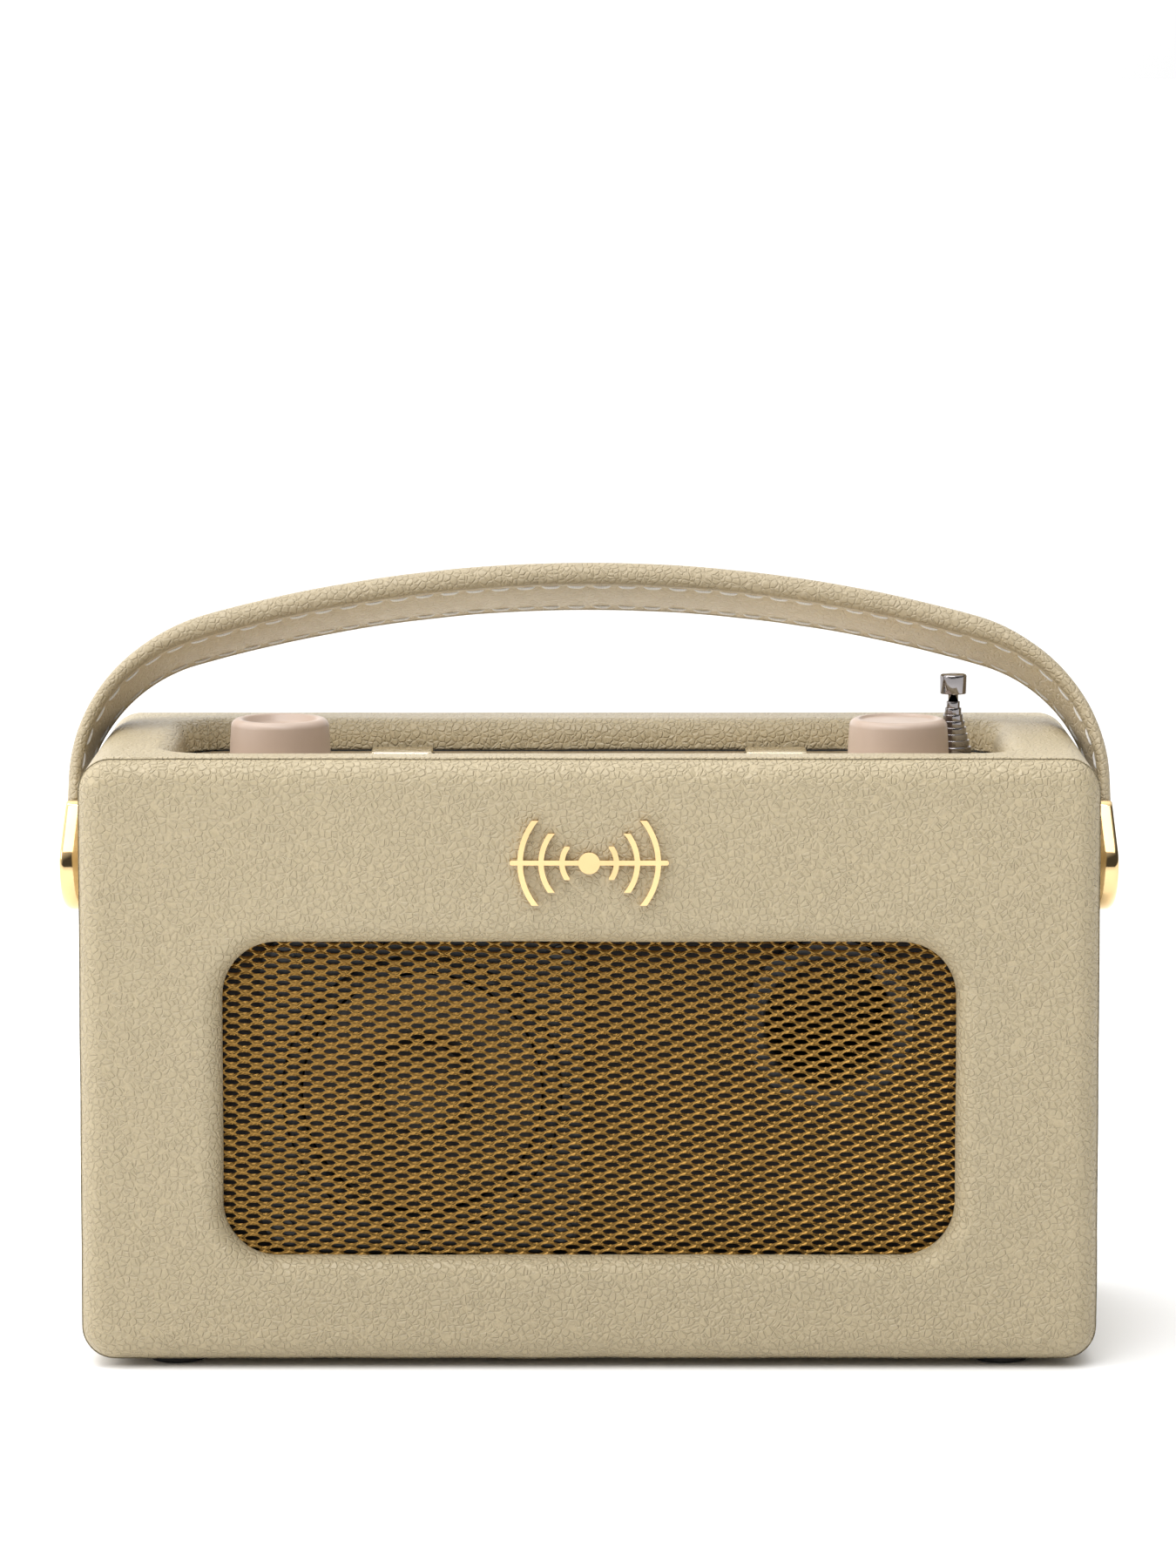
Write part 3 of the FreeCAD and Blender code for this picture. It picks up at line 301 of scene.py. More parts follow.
def window_material(name):
    recipe = Recipe(name, (0.012, 0.013, 0.014), 0.06)
    recipe.set(Alpha=0.62, Specular_IOR_Level=0.6, Coat_Weight=0.6, Coat_Roughness=0.04)
    recipe.rough(recipe.ramp(recipe.noise(300, 4.0), 0.4, 0.8, 0.04, 0.10))
    recipe.bump(recipe.noise(60, 2.0), 0.00001, 0.2)
    return recipe.material


def thread_material(name):
    recipe = Recipe(name, (0.90, 0.89, 0.87), 0.6)
    twist = recipe.nodes.new("ShaderNodeTexWave")
    twist.inputs["Scale"].default_value = 900
    twist.inputs["Distortion"].default_value = 1.2
    recipe.links.new(recipe.stretched((1, 0.6, 1.3)), twist.inputs["Vector"])
    recipe.color(recipe.mix(twist.outputs["Fac"], (0.80, 0.79, 0.76), (0.93, 0.92, 0.91)))
    recipe.bump(twist.outputs["Fac"], 0.00008, 0.7)
    recipe.set(Sheen_Weight=0.2)
    return recipe.material


def cone_material(name):
    recipe = Recipe(name, (0.035, 0.032, 0.03), 0.75)
    fibres = recipe.noise(900, 5.0, 0.7, recipe.stretched((1, 0.4, 1)), 1.0)
    recipe.color(recipe.mix(fibres, (0.02, 0.018, 0.016), (0.07, 0.062, 0.055)))
    recipe.bump(fibres, 0.0001, 0.6)
    return recipe.material


CREAM = (0.445, 0.368, 0.232)
GOLD = (0.84, 0.60, 0.30)
BRONZE = (0.31, 0.175, 0.046)

MATERIALS = {
    "leather": leather_material("cream_leather", CREAM),
    "strap": leather_material("strap_leather", (0.42, 0.345, 0.222), 0.8),
    # The lining is a lighter copy of the strap leather: painted light for the brighter underside of the
    # strap.
    "lining": leather_material("lining_painted_lighter", (0.62, 0.525, 0.365), 0.8),
    "gilt": gilt_material("polished_gilt", GOLD, 0.07, 0.05),
    "gilt_mesh": gilt_material("lacquered_mesh", BRONZE, 0.26, 0.08),
    "soft_touch": moulded_material("soft_touch", (0.50, 0.385, 0.31), 0.36, 0.00002, 2600),
    "champagne": metal_material("champagne_panel", (0.70, 0.60, 0.46), 0.34, (0.05, 1, 1)),
    "key_gilt": metal_material("key_gilt", (0.83, 0.73, 0.53), 0.22, (0.3, 1, 1)),
    "black_plastic": moulded_material(
        "black_plastic", (0.028, 0.028, 0.030), 0.52, 0.00006, 2200, (0.07, 0.07, 0.07)),
    "window": window_material("tinted_window"),
    "display": display_material("display_cells"),
    "chrome": gilt_material("chrome", (0.30, 0.28, 0.28), 0.06, 0.03),
    "steel": metal_material("zinc_steel", (0.55, 0.55, 0.57), 0.32),
    "spring_steel": metal_material("spring_steel", (0.32, 0.33, 0.37), 0.35, (0.1, 1, 1)),
    "ferrite": moulded_material("ferrite", (0.05, 0.05, 0.055), 0.6, 0.00012, 900),
    "paper_cone": cone_material("pulp_cone"),
    "rubber": moulded_material("rubber", (0.022, 0.022, 0.022), 0.72, 0.00005, 1600),
    "circuit_board": board_material("circuit_board"),
    "bush_brass": metal_material("bush_brass", (0.66, 0.47, 0.20), 0.25),
    # Darker than natural ply: the wood's tone plus painted shade for the inside of the box, seen through
    # the port.
    "wood": wood_material("ply_with_painted_shade", (0.30, 0.20, 0.115), 0.7),
    # Near-black board: its own dark colour, darkened further by painted shade for the inside behind the
    # grille.
    "fibreboard": wood_material("fibreboard", (0.012, 0.007, 0.004), 0.75),
    "thread": thread_material("thread"),
    # Near-black steel: black paint, darkened further by painted shade behind the grille.
    "black_steel_and_shade": moulded_material("black_steel_and_shade", (0.012, 0.012, 0.012), 0.5, 0.00004, 1500),
}


# ------------------------------------------------------------------ mesh helpers
def build(name, points, faces, body, slot, stands_for=(), material=None, flat=False):
    """Makes a mesh piece, gives it its material and puts it on its body."""
    mesh = bpy.data.meshes.new(name)
    mesh.from_pydata([tuple(p) for p in points], [], faces)
    mesh.validate()
    mesh.update()
    mesh.polygons.foreach_set("use_smooth", [not flat] * len(mesh.polygons))
    piece = bpy.data.objects.new(name, mesh)
    bpy.context.scene.collection.objects.link(piece)
    mesh.materials.append(MATERIALS[material or slot])
    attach(piece, body)
    if stands_for:
        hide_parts(*stands_for)
    return piece


def skin(rings, closed=True, wrap=False):
    """Points and faces of a surface through rings of equal length."""
    count = len(rings[0])
    points = [p for ring in rings for p in ring]
    faces = []
    spans = len(rings) if wrap else len(rings) - 1
    steps = count if closed else count - 1
    for row in range(spans):
        here = row * count
        there = ((row + 1) % len(rings)) * count
        for i in range(steps):
            j = (i + 1) % count
            faces.append((here + i, here + j, there + j, there + i))
    return points, faces


def round_loop(half_u, half_v, radius, side_u, side_v, corner):
    """A rounded rectangle's outline, anticlockwise from the lower edge's start."""
    radius = max(radius, 1e-6)
    flat_u = half_u - radius
    flat_v = half_v - radius
    points = []
    sides = (
        ((-flat_u, -half_v), (flat_u, -half_v), side_u, (flat_u, -flat_v), -90),
        ((half_u, -flat_v), (half_u, flat_v), side_v, (flat_u, flat_v), 0),
        ((flat_u, half_v), (-flat_u, half_v), side_u, (-flat_u, flat_v), 90),
        ((-half_u, flat_v), (-half_u, -flat_v), side_v, (-flat_u, -flat_v), 180),
    )
    for start, end, steps, centre, angle in sides:
        for i in range(steps):
            t = i / steps
            points.append((start[0] + (end[0] - start[0]) * t, start[1] + (end[1] - start[1]) * t))
        for i in range(corner):
            turn = math.radians(angle + 90 * i / corner)
            points.append((centre[0] + radius * math.cos(turn), centre[1] + radius * math.sin(turn)))
    return points


def merge(piece, distance=0.00001):
    """Welds points that lie together and turns the faces outwards."""
    work = bmesh.new()
    work.from_mesh(piece.data)
    bmesh.ops.remove_doubles(work, verts=work.verts, dist=distance)
    bmesh.ops.recalc_face_normals(work, faces=work.faces)
    work.to_mesh(piece.data)
    work.free()


def thicken(piece, depth, outward=-1.0):
    """Gives a skin its thickness, inwards by default."""
    solid = piece.modifiers.new("thickness", "SOLIDIFY")
    solid.thickness = depth
    solid.offset = outward
    solid.use_even_offset = True


def ease(piece, width, segments=3, angle=32):
    """Softens a hard part's edges."""
    bevel = piece.modifiers.new("edges", "BEVEL")
    bevel.width = width
    bevel.segments = segments
    bevel.limit_method = "ANGLE"
    bevel.angle_limit = math.radians(angle)
    bevel.harden_normals = True


def undulate(points, size, depth, seed):
    """Moves points by a soft, fixed unevenness."""
    moved = []
    for p in points:
        at = Vector(p) / size + Vector((seed, seed * 1.7, seed * 0.3))
        moved.append(Vector(p) + noise.noise_vector(at) * depth)
    return moved


def lathe(name, outline, centre, axis, body, slot, stands_for=(), steps=72, closed=False):
    """Turns an outline of (radius, distance along the axis) about an axis."""
    across = Vector((1, 0, 0)) if abs(axis.x) < 0.5 else Vector((0, 1, 0))
    other = axis.cross(across)
    rings = []
    for radius, along in outline:
        ring = []
        for i in range(steps):
            turn = 2 * math.pi * i / steps
            side = across * math.cos(turn) + other * math.sin(turn)
            ring.append(centre + axis * along + side * max(radius, 1e-7))
        rings.append(ring)
    points, faces = skin(rings, wrap=closed)
    merge(build(name, points, faces, body, slot, stands_for))


def arc(centre, radius, start, end, steps):
    """Points of an arc in a lathe outline, by angles in degrees."""
    found = []
    for i in range(steps + 1):
        turn = math.radians(start + (end - start) * i / steps)
        found.append((centre[0] + radius * math.cos(turn), centre[1] + radius * math.sin(turn)))
    return found


def between(first, second, t):
    return [Vector(a).lerp(Vector(b), t) for a, b in zip(first, second)]


# ------------------------------------------------------------------ front cover
# Each pair is an inset from the outside and a distance from the seam, in millimetres.
SEAM_EDGE = ((1.5, 0.0), (0.9, 0.06), (0.42, 0.25), (0.12, 0.6), (0.0, 1.0))
FRONT_SEAM = ((1.5, 0.0), (0.8, 0.06), (0.42, 0.25), (0.22, 0.6), (0.08, 1.1), (0.0, 1.8))
FRONT_SIDE_U = 150
FRONT_SIDE_V = 90
FRONT_TURN = 16


def front_ring(half_u, half_v, radius, middle, y):
    loop = round_loop(half_u, half_v, radius, FRONT_SIDE_U, FRONT_SIDE_V, FRONT_TURN)
    return [Vector((u, y, middle + v)) for u, v in loop]


def outer_ring(inset, y):
    return front_ring(HALF_X - inset, HALF_Z - inset, CORNER - inset, MID_Z, y)


def opening_ring(outset, y):
    return front_ring(OPENING_X + outset, OPENING_Z + outset, OPENING_CORNER + outset, OPENING_MID, y)


def make_front_cover():
    rings = [outer_ring(inset * MM, SEAM_Y - along * MM) for inset, along in FRONT_SEAM]
    for i in range(2, 15):
        turn = math.radians(90 * i / 14)
        inset = FRONT_ROUND * (1 - math.cos(turn))
        rings.append(outer_ring(inset, FRONT_Y + FRONT_ROUND * (1 - math.sin(turn))))
    edge = rings[-1]
    lip = opening_ring(LIP, FRONT_Y)
    for i in range(1, 20):
        rings.append(between(edge, lip, i / 20))
    for i in range(13):
        turn = math.radians(90 * i / 12)
        outset = LIP * (1 - math.sin(turn))
        rings.append(opening_ring(outset, FRONT_Y + LIP * (1 - math.cos(turn))))
    rings.append(opening_ring(0, SEAM_Y - 0.25 * MM))
    rings.append(opening_ring(0.5 * MM, SEAM_Y))
    points, faces = skin(rings)
    points = undulate(points, 0.016, 0.00012, 3.1)
    piece = build("front_leather", points, faces, "cabinet", "leather", ("cover_front",))
    merge(piece)
    thicken(piece, LEATHER)


# ------------------------------------------------------------------ body cover
SIDE_U = 180
SIDE_V = 60
TURN = 14
STATIONS = 72
WELL_TURN = 24


def body_ring(inset, y):
    loop = round_loop(HALF_X - inset, HALF_Z - inset, CORNER - inset, SIDE_U, SIDE_V, TURN)
    return [Vector((u, y, MID_Z + v)) for u, v in loop]


def well_ring(outset, z, pucker=0.0):
    """The well's outline, starting at the middle of its front left corner."""
    corner = 2 * WELL_TURN
    across = SIDE_U - corner
    along = STATIONS - corner
    radius = WELL_CORNER + outset
    half_x = WELL_X + outset
    half_y = WELL_Y + outset
    loop = round_loop(half_x, half_y, radius, across, along, corner)
    loop = loop[-WELL_TURN:] + loop[:-WELL_TURN]
    points = []
    for x, y in loop:
        point = Vector((x, y, z))
        arm = Vector((abs(x) - (half_x - radius), abs(y) - (half_y - radius), 0))
        if pucker and arm.x > 0 and arm.y > 0:
            angle = math.atan2(arm.y, arm.x)
            fade = math.sin(2 * angle)
            ripple = math.sin(angle * 26 + 2.0 * noise.noise(Vector((x * 90, y * 90, 0))))
            inward = Vector((-math.copysign(arm.x, x), -math.copysign(arm.y, y), 0)).normalized()
            point += inward * pucker * fade * (0.35 + 0.65 * ripple)
            point.z += pucker * fade * ripple * 0.4
        points.append(point)
    return points


def make_body_cover():
    first = SEAM_Y + SEAM_GAP
    start = first + SEAM_EDGE[-1][1] * MM
    last = BACK_Y - BACK_ROUND
    ys = [start + (last - start) * i / STATIONS for i in range(STATIONS + 1)]
    rings = [body_ring(0, y) for y in ys]
    points, faces = skin(rings)
    count = len(rings[0])
    top = range(SIDE_U + SIDE_V + 2 * TURN, 2 * SIDE_U + SIDE_V + 2 * TURN)
    faces = [f for f in faces if f[0] % count not in top or (f[0] % count + 1) % count != f[1] % count]

    back = [rings[-1]]
    for i in range(1, 11):
        turn = math.radians(90 * i / 10)
        inset = BACK_ROUND * (1 - math.cos(turn))
        back.append(body_ring(inset, last + BACK_ROUND * math.sin(turn)))
    edge = RIM - 1.2 * MM
    back.append(body_ring((edge + BACK_ROUND) / 2, BACK_Y))
    for i in range(7):
        turn = math.radians(90 * i / 6)
        inset = edge + 1.2 * MM * math.sin(turn)
        back.append(body_ring(inset, BACK_Y - 1.2 * MM * (1 - math.cos(turn))))
    back.append(body_ring(RIM, BACK_Y - 4.6 * MM))

    lead = [body_ring(inset * MM, first + along * MM) for inset, along in SEAM_EDGE]

    top_first = top[0]
    front_edge = [rings[0][top_first + SIDE_U - i] for i in range(SIDE_U)]
    right_edge = [rings[i][top_first] for i in range(STATIONS)]
    back_edge = [rings[-1][top_first + i] for i in range(SIDE_U)]
    left_edge = [rings[STATIONS - i][top_first + SIDE_U] for i in range(STATIONS)]
    plate = [front_edge + right_edge + back_edge + left_edge]
    roll = well_ring(WELL_ROLL, TOP_Z)
    for i in range(1, 8):
        plate.append(between(plate[0], roll, i / 8))
    for i in range(11):
        turn = math.radians(90 * i / 10)
        outset = WELL_ROLL * (1 - math.sin(turn))
        pucker = 0.55 * MM * (i / 10) ** 1.5
        plate.append(well_ring(outset, TOP_Z - WELL_ROLL * (1 - math.cos(turn)), pucker))
    floor = PANEL_Z + 0.15 * MM
    for i in range(1, 5):
        z = TOP_Z - WELL_ROLL + (floor - TOP_Z + WELL_ROLL) * i / 4
        plate.append(well_ring(0, z, 0.55 * MM + 0.1 * MM * i))

    for extra in (back, lead, plate):
        more, quads = skin(extra)
        shift = len(points)
        points = points + more
        faces += [tuple(i + shift for i in quad) for quad in quads]
    points = undulate(points, 0.018, 0.00010, 7.7)
    piece = build("body_leather", points, faces, "cabinet", "leather", ("cover_body",))
    merge(piece, 0.00002)
    thicken(piece, LEATHER)


# ------------------------------------------------------------------ grille
MESH_LONG = 5.95 * MM
MESH_SHORT = 2.72 * MM
MESH_TILT = math.radians(-1.6)
BOND_LIFT = 0.30 * MM
STRAND_LIFT = 0.08 * MM
MESH_STEPS = 20
MESH_THICK = 0.2 * MM
HOLE_HALF_U = 1.86 * MM
HOLE_HALF_V = 0.66 * MM


def mesh_tile(centre, y):
    """One diamond of expanded metal: a lens-shaped hole with its lower edge set back."""
    outer = []
    lens = []
    for i in range(MESH_STEPS):
        turn = 2 * math.pi * i / MESH_STEPS
        c = math.cos(turn)
        s = math.sin(turn)
        reach = 1 / (abs(c) + abs(s))
        outer.append((MESH_LONG / 2 * c * reach, MESH_SHORT / 2 * s * reach, 0.0))
        u = HOLE_HALF_U * c
        v = HOLE_HALF_V * math.copysign(abs(s) ** 1.25, s)
        lens.append((u, v, -STRAND_LIFT * s - BOND_LIFT * math.copysign(s ** 4, s)))
    middle = []
    for a, b in zip(outer, lens):
        middle.append(((a[0] + b[0]) / 2, (a[1] + b[1]) / 2, a[2] * 0.5 + b[2] * 0.5 - 0.05 * MM))
    rings = []
    for ring in (outer, middle, lens):
        rings.append([Vector((centre[0] + u, y + w, centre[1] + v)) for u, v, w in ring])
    return rings


def make_grille():
    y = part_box("grille")[0].y + 0.45 * MM
    points = []
    faces = []
    reach_u = OPENING_X + 2.2 * MM
    reach_v = OPENING_Z + 2.2 * MM
    rows = int(reach_v / MESH_SHORT * 2) + 4
    columns = int(reach_u / MESH_LONG) + 3
    for row in range(-rows, rows + 1):
        for column in range(-columns, columns + 1):
            u = (column + 0.5 * (row % 2)) * MESH_LONG
            v = row * MESH_SHORT / 2
            spun = Matrix.Rotation(MESH_TILT, 2) @ Vector((u, v))
            if abs(spun.x) > reach_u or abs(spun.y) > reach_v:
                continue
            more, quads = skin(mesh_tile((u, v), 0.0))
            shift = len(points)
            points += more
            faces += [tuple(i + shift for i in quad) for quad in quads]
    turned = Matrix.Rotation(-MESH_TILT, 4, "Y")
    points = [turned @ Vector(p) + Vector((0, y, OPENING_MID)) for p in points]
    piece = build("expanded_mesh", points, faces, "cabinet", "gilt_mesh", ("grille",), flat=True)
    merge(piece)
    thicken(piece, MESH_THICK, 0.0)


def make_grille_border():
    """The flattened margin that the mesh is clamped by."""
    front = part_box("grille")[0].y
    rings = []
    for outset, y in ((1.6, 0.1), (1.6, 0.75), (4.4, 0.75), (4.4, 0.1)):
        rings.append(opening_ring(outset * MM, front + y * MM))
    points, faces = skin(rings, wrap=True)
    merge(build("mesh_border", points, faces, "cabinet", "gilt_mesh"))


# ------------------------------------------------------------------ loudspeaker
def make_loudspeaker():
    low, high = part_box("speaker_cone")
    centre = Vector(((low.x + high.x) / 2, 0, (low.z + high.z) / 2))
    back = Vector((0, 1, 0))
    lip = low.y
    outline = []
    for i in range(46):
        t = i / 45
        crease_highlight = 0.22 * MM * math.sin(t * 28)
        radius = 28.8 * MM - 18.9 * MM * t
        outline.append((radius, lip + 12.4 * MM * t ** 0.86 + crease_highlight))
    inner = [(r, y + 0.6 * MM) for r, y in reversed(outline)]
    lathe("cone_paper", outline + inner, centre, back, "speaker_cone", "paper_cone",
          ("speaker_cone",), steps=96, closed=True)
    cap = arc((0, lip + 18 * MM), 15.5 * MM, -46, -90, 14)
    shell = [(max(r - 0.2 * MM, 0), y + 0.5 * MM) for r, y in reversed(cap)]
    lathe("dust_cap", cap + shell, centre, back, "speaker_cone", "paper_cone", steps=64)
    low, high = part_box("driver_surround")
    outer = (high.x - low.x) / 2
    middle = (outer + 29.3 * MM) / 2
    half = (outer - 29.3 * MM) / 2
    plane = high.y
    roll = arc((middle, plane), half, 180, 360, 18)
    roll += arc((middle, plane), half - 0.6 * MM, 360, 180, 18)
    lathe("rubber_surround", roll, centre, back, "cabinet", "rubber",
          ("driver_surround",), steps=96, closed=True)


# ------------------------------------------------------------------ handle
HANDLE_X = 129.1 * MM
HANDLE_TOP = 77.5 * MM
HANDLE_CROWN = 335 * MM
HANDLE_SHOULDER = 46 * MM
GRIP_THICK = 6.4 * MM
LEG_THICK = 3.2 * MM
INNER_SHOULDER = 38 * MM
STRAP_HALF = 11 * MM
LINING = 1.2 * MM
CAP_TOP = 12.7 * MM
STITCH_ROW = 6.9 * MM
STITCH_PITCH = 6.4 * MM
STITCH_LONG = 4.7 * MM
STITCH_LIFT = -0.12 * MM
STRAP_RIM = 2.3 * MM
RECESS = 0.9 * MM


def arch(half, top, crown, shoulder, low, steps=(6, 34, 70)):
    """Points along half legs, shoulders and crown, from the left foot over to the right."""
    reach = crown - shoulder
    side = half - shoulder
    level = top - crown + math.sqrt(reach ** 2 - side ** 2)
    meet = math.atan2(side, level - (top - crown))
    right = [(half, low + (level - low) * i / steps[0]) for i in range(steps[0])]
    for i in range(steps[1]):
        turn = (math.pi / 2 - meet) * i / steps[1]
        right.append((side + shoulder * math.cos(turn), level + shoulder * math.sin(turn)))
    over = []
    for i in range(steps[2] + 1):
        turn = meet - 2 * meet * i / steps[2]
        over.append((crown * math.sin(turn), top - crown + crown * math.cos(turn)))
    left = [(-x, u) for x, u in reversed(right)]
    return [Vector((x, 0, u)) for x, u in reversed(right + over + left)]


OUTER_ARCH = arch(HANDLE_X, HANDLE_TOP, HANDLE_CROWN, HANDLE_SHOULDER, CAP_TOP)
INNER_ARCH = arch(HANDLE_X - LEG_THICK, HANDLE_TOP - GRIP_THICK, HANDLE_CROWN, INNER_SHOULDER, CAP_TOP)


def hang(point):
    """From the handle's own plane to its place on the radio, leaning back."""
    return Matrix.Rotation(-LEAN, 3, "X") @ point + UP * PIVOT_Z


def across_strap(index, width, depth):
    """A point of the strap: width across it, depth out from its inner face."""
    inner = INNER_ARCH[index]
    outward = (OUTER_ARCH[index] - inner).normalized()
    return inner + outward * depth + Vector((0, width, 0))


def thickness(index):
    return (OUTER_ARCH[index] - INNER_ARCH[index]).length


def groove(width, depth=0.5 * MM, spread=1.1 * MM):
    """How far the leather is pulled in along the stitches."""
    gap = (abs(width) - STITCH_ROW) / spread
    return depth * math.exp(-gap * gap)


def strap_section(index):
    """The outer leather's section: a padded back and a round rim that turns onto the inner face."""
    full = thickness(index)
    crown = min(0.9 * MM, (full - LEG_THICK) * 0.3)
    section = []
    flat = STRAP_HALF - STRAP_RIM
    for i in range(25):
        width = flat - 2 * flat * i / 24
        swell = crown * (1 - (width / STRAP_HALF) ** 2)
        section.append((width, full - crown + swell - groove(width)))
    top = full - crown + crown * (1 - (flat / STRAP_HALF) ** 2) - groove(flat)
    middle = top / 2
    for i in range(1, 18):
        turn = math.radians(90 + 180 * i / 18)
        section.append((-flat + STRAP_RIM * math.cos(turn), middle + middle * math.sin(turn)))
    for i in range(13):
        section.append((-flat + 2 * flat * i / 12, RECESS if 0 < i < 12 else 0.0))
    for i in range(1, 18):
        turn = math.radians(-90 + 180 * i / 18)
        section.append((flat + STRAP_RIM * math.cos(turn), middle + middle * math.sin(turn)))
    return section


def lining_section(_):
    """The lining's section, set in between the rims, with a puffed middle."""
    half = STRAP_HALF - 1.9 * MM
    section = []
    for i in range(41):
        width = -half + 2 * half * i / 40
        edge = max(0.0, abs(width) - (half - 1.0 * MM)) / (1.0 * MM)
        lift = 0.6 * MM * (1 - math.sqrt(max(0.0, 1 - edge * edge)))
        puff = -0.3 * MM * max(0.0, 1 - (width / (STITCH_ROW - 1 * MM)) ** 2)
        section.append((width, lift + groove(width, 0.2 * MM) + puff + 0.08 * MM))
    for i in range(13):
        section.append((half - 2 * half * i / 12, LINING - 0.02 * MM))
    return section


def sweep(name, section_at, material, stands_for):
    rings = []
    for index in range(len(INNER_ARCH)):
        ring = [across_strap(index, width, depth) for width, depth in section_at(index)]
        rings.append([hang(point) for point in ring])
    points, faces = skin(rings)
    count = len(rings[0])
    faces.append(tuple(range(count)))
    faces.append(tuple(reversed(range(len(points) - count, len(points)))))
    points = undulate(points, 0.013, 0.00010, 1.3)
    merge(build(name, points, faces, "handle", "leather", stands_for, material))


def stitch(index_at, start, row, outward):
    """One stitch: a short thread that dives in at both ends."""
    rings = []
    for i in range(9):
        t = i / 8
        index, rest = index_at(start + STITCH_LONG * t)
        dive = (2 * t - 1) ** 4
        here = across_strap(index, row, 0).lerp(across_strap(index + 1, row, 0), rest)
        ahead = (across_strap(index + 1, row, 0) - across_strap(index, row, 0)).normalized()
        normal = (OUTER_ARCH[index] - INNER_ARCH[index]).normalized() * outward
        side = ahead.cross(normal)
        base = thickness(index) * (1 - rest) + thickness(index + 1) * rest if outward > 0 else 0.0
        middle = here + normal * (base + STITCH_LIFT - dive * 0.36 * MM)
        middle += Vector((0, 0.3 * MM * (1 - (2 * t - 1) ** 2), 0))
        radius = 0.50 * MM * (1 - 0.45 * dive)
        ring = []
        for k in range(8):
            turn = 2 * math.pi * k / 8
            ring.append(hang(middle + (normal * 0.72 * math.sin(turn) + side * math.cos(turn)) * radius))
        rings.append(ring)
    points, faces = skin(rings)
    faces.append(tuple(reversed(range(8))))
    faces.append(tuple(range(len(points) - 8, len(points))))
    return points, faces


def make_stitches(name, outward, path):
    """Both rows of stitches on one face of the strap."""
    lengths = [0.0]
    for a, b in zip(path, path[1:]):
        lengths.append(lengths[-1] + (b - a).length)

    def index_at(distance):
        index = 0
        while index < len(lengths) - 2 and lengths[index + 1] < distance:
            index += 1
        return index, (distance - lengths[index]) / (lengths[index + 1] - lengths[index])

    points = []
    faces = []
    # The end stitches stay 1.5 mm clear of the caps.
    count = int((lengths[-1] - 3 * MM) / STITCH_PITCH)
    first = (lengths[-1] - (count - 1) * STITCH_PITCH - STITCH_LONG) / 2
    for row in (-STITCH_ROW, STITCH_ROW):
        for number in range(count):
            more, quads = stitch(index_at, first + number * STITCH_PITCH, row, outward)
            shift = len(points)
            points += more
            faces += [tuple(i + shift for i in quad) for quad in quads]
    build(name, points, faces, "handle", "leather", (), "thread")


def cap_outline(inset, steps=28):
    """A gilt cap's outline in (y, height over the pivot), with a round lower end."""
    radius = 11.3 * MM - inset
    top = CAP_TOP - min(inset, 0.5 * MM)
    outline = []
    for i in range(steps + 1):
        turn = math.pi + math.pi * i / steps
        outline.append((radius * math.cos(turn), radius * math.sin(turn)))
    for i in range(1, 9):
        outline.append((radius, top * i / 9))
    for i in range(13):
        outline.append((radius - 2 * radius * i / 12, top))
    for i in range(1, 9):
        outline.append((-radius, top * (9 - i) / 9))
    return outline


def make_cap(side, name):
    """A wedge-shaped cap: thin where the strap goes in, thicker and rounded below."""
    inner = 123.7 * MM
    bottom_x = 130.4 * MM
    lip_x = 129.25 * MM

    def outer_x(u):
        t = min(1.0, max(0.0, (u + 2 * MM) / (CAP_TOP + 2 * MM)))
        return bottom_x + (lip_x - bottom_x) * t

    def softness(u):
        t = min(1.0, max(0.0, -u / (11.3 * MM)))
        return 0.75 * MM + 2.3 * MM * t * t

    rings = []
    for inset, x in ((0.35 * MM, inner), (0.0, inner + 0.35 * MM)):
        rings.append([(x, v, u) for v, u in cap_outline(inset)])
    for i in range(6):
        turn = math.radians(90 * i / 5)
        ring = []
        plain = cap_outline(0.0)
        deep = cap_outline(1.0 * MM)
        for (v, u), (dv, du) in zip(plain, deep):
            soft = softness(u)
            share = soft * (1 - math.cos(turn)) / (1.0 * MM)
            x = outer_x(u) - soft * (1 - math.sin(turn))
            ring.append((x, v + (dv - v) * share, u + (du - u) * share))
        rings.append(ring)
    edge = rings[-1]
    for shrink in (0.85, 0.6, 0.3, 0.02):
        ring = []
        for x, v, u in edge:
            height = 0.8 * MM + (u - 0.8 * MM) * shrink
            ring.append((outer_x(height), v * shrink, height))
        rings.append(ring)
    placed = [[hang(Vector((x * side, v, u))) for x, v, u in ring] for ring in rings]
    points, faces = skin(placed)
    count = len(placed[0])
    faces.append(tuple(range(count)))
    faces.append(tuple(range(len(points) - count, len(points))))
    piece = build(name, points, faces, "handle", "gilt")
    merge(piece)
    return piece


def make_handle():
    sweep("strap_leather", strap_section, "strap", ("handle_strap",))
    sweep("strap_lining", lining_section, "lining", ("handle_lining",))
    make_stitches("inner_stitches", -1, INNER_ARCH)
    make_stitches("outer_stitches", 1, OUTER_ARCH)
    right = make_cap(1, "right_end_cap")
    make_cap(-1, "left_end_cap")
    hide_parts("handle_caps")


# ------------------------------------------------------------------ knobs and keys
# Radius and height of each knob's hollow, in millimetres, from the rim inwards.
VOLUME_DISH = ((9.5, 11.0), (9.2, 10.75), (8.8, 9.6), (8.0, 8.9), (6.0, 8.55), (0.0, 8.4))
TUNING_INSET = ((9.75, 11.1), (9.6, 11.0), (9.45, 10.62), (9.0, 10.5), (5.0, 10.5), (0.0, 10.5))


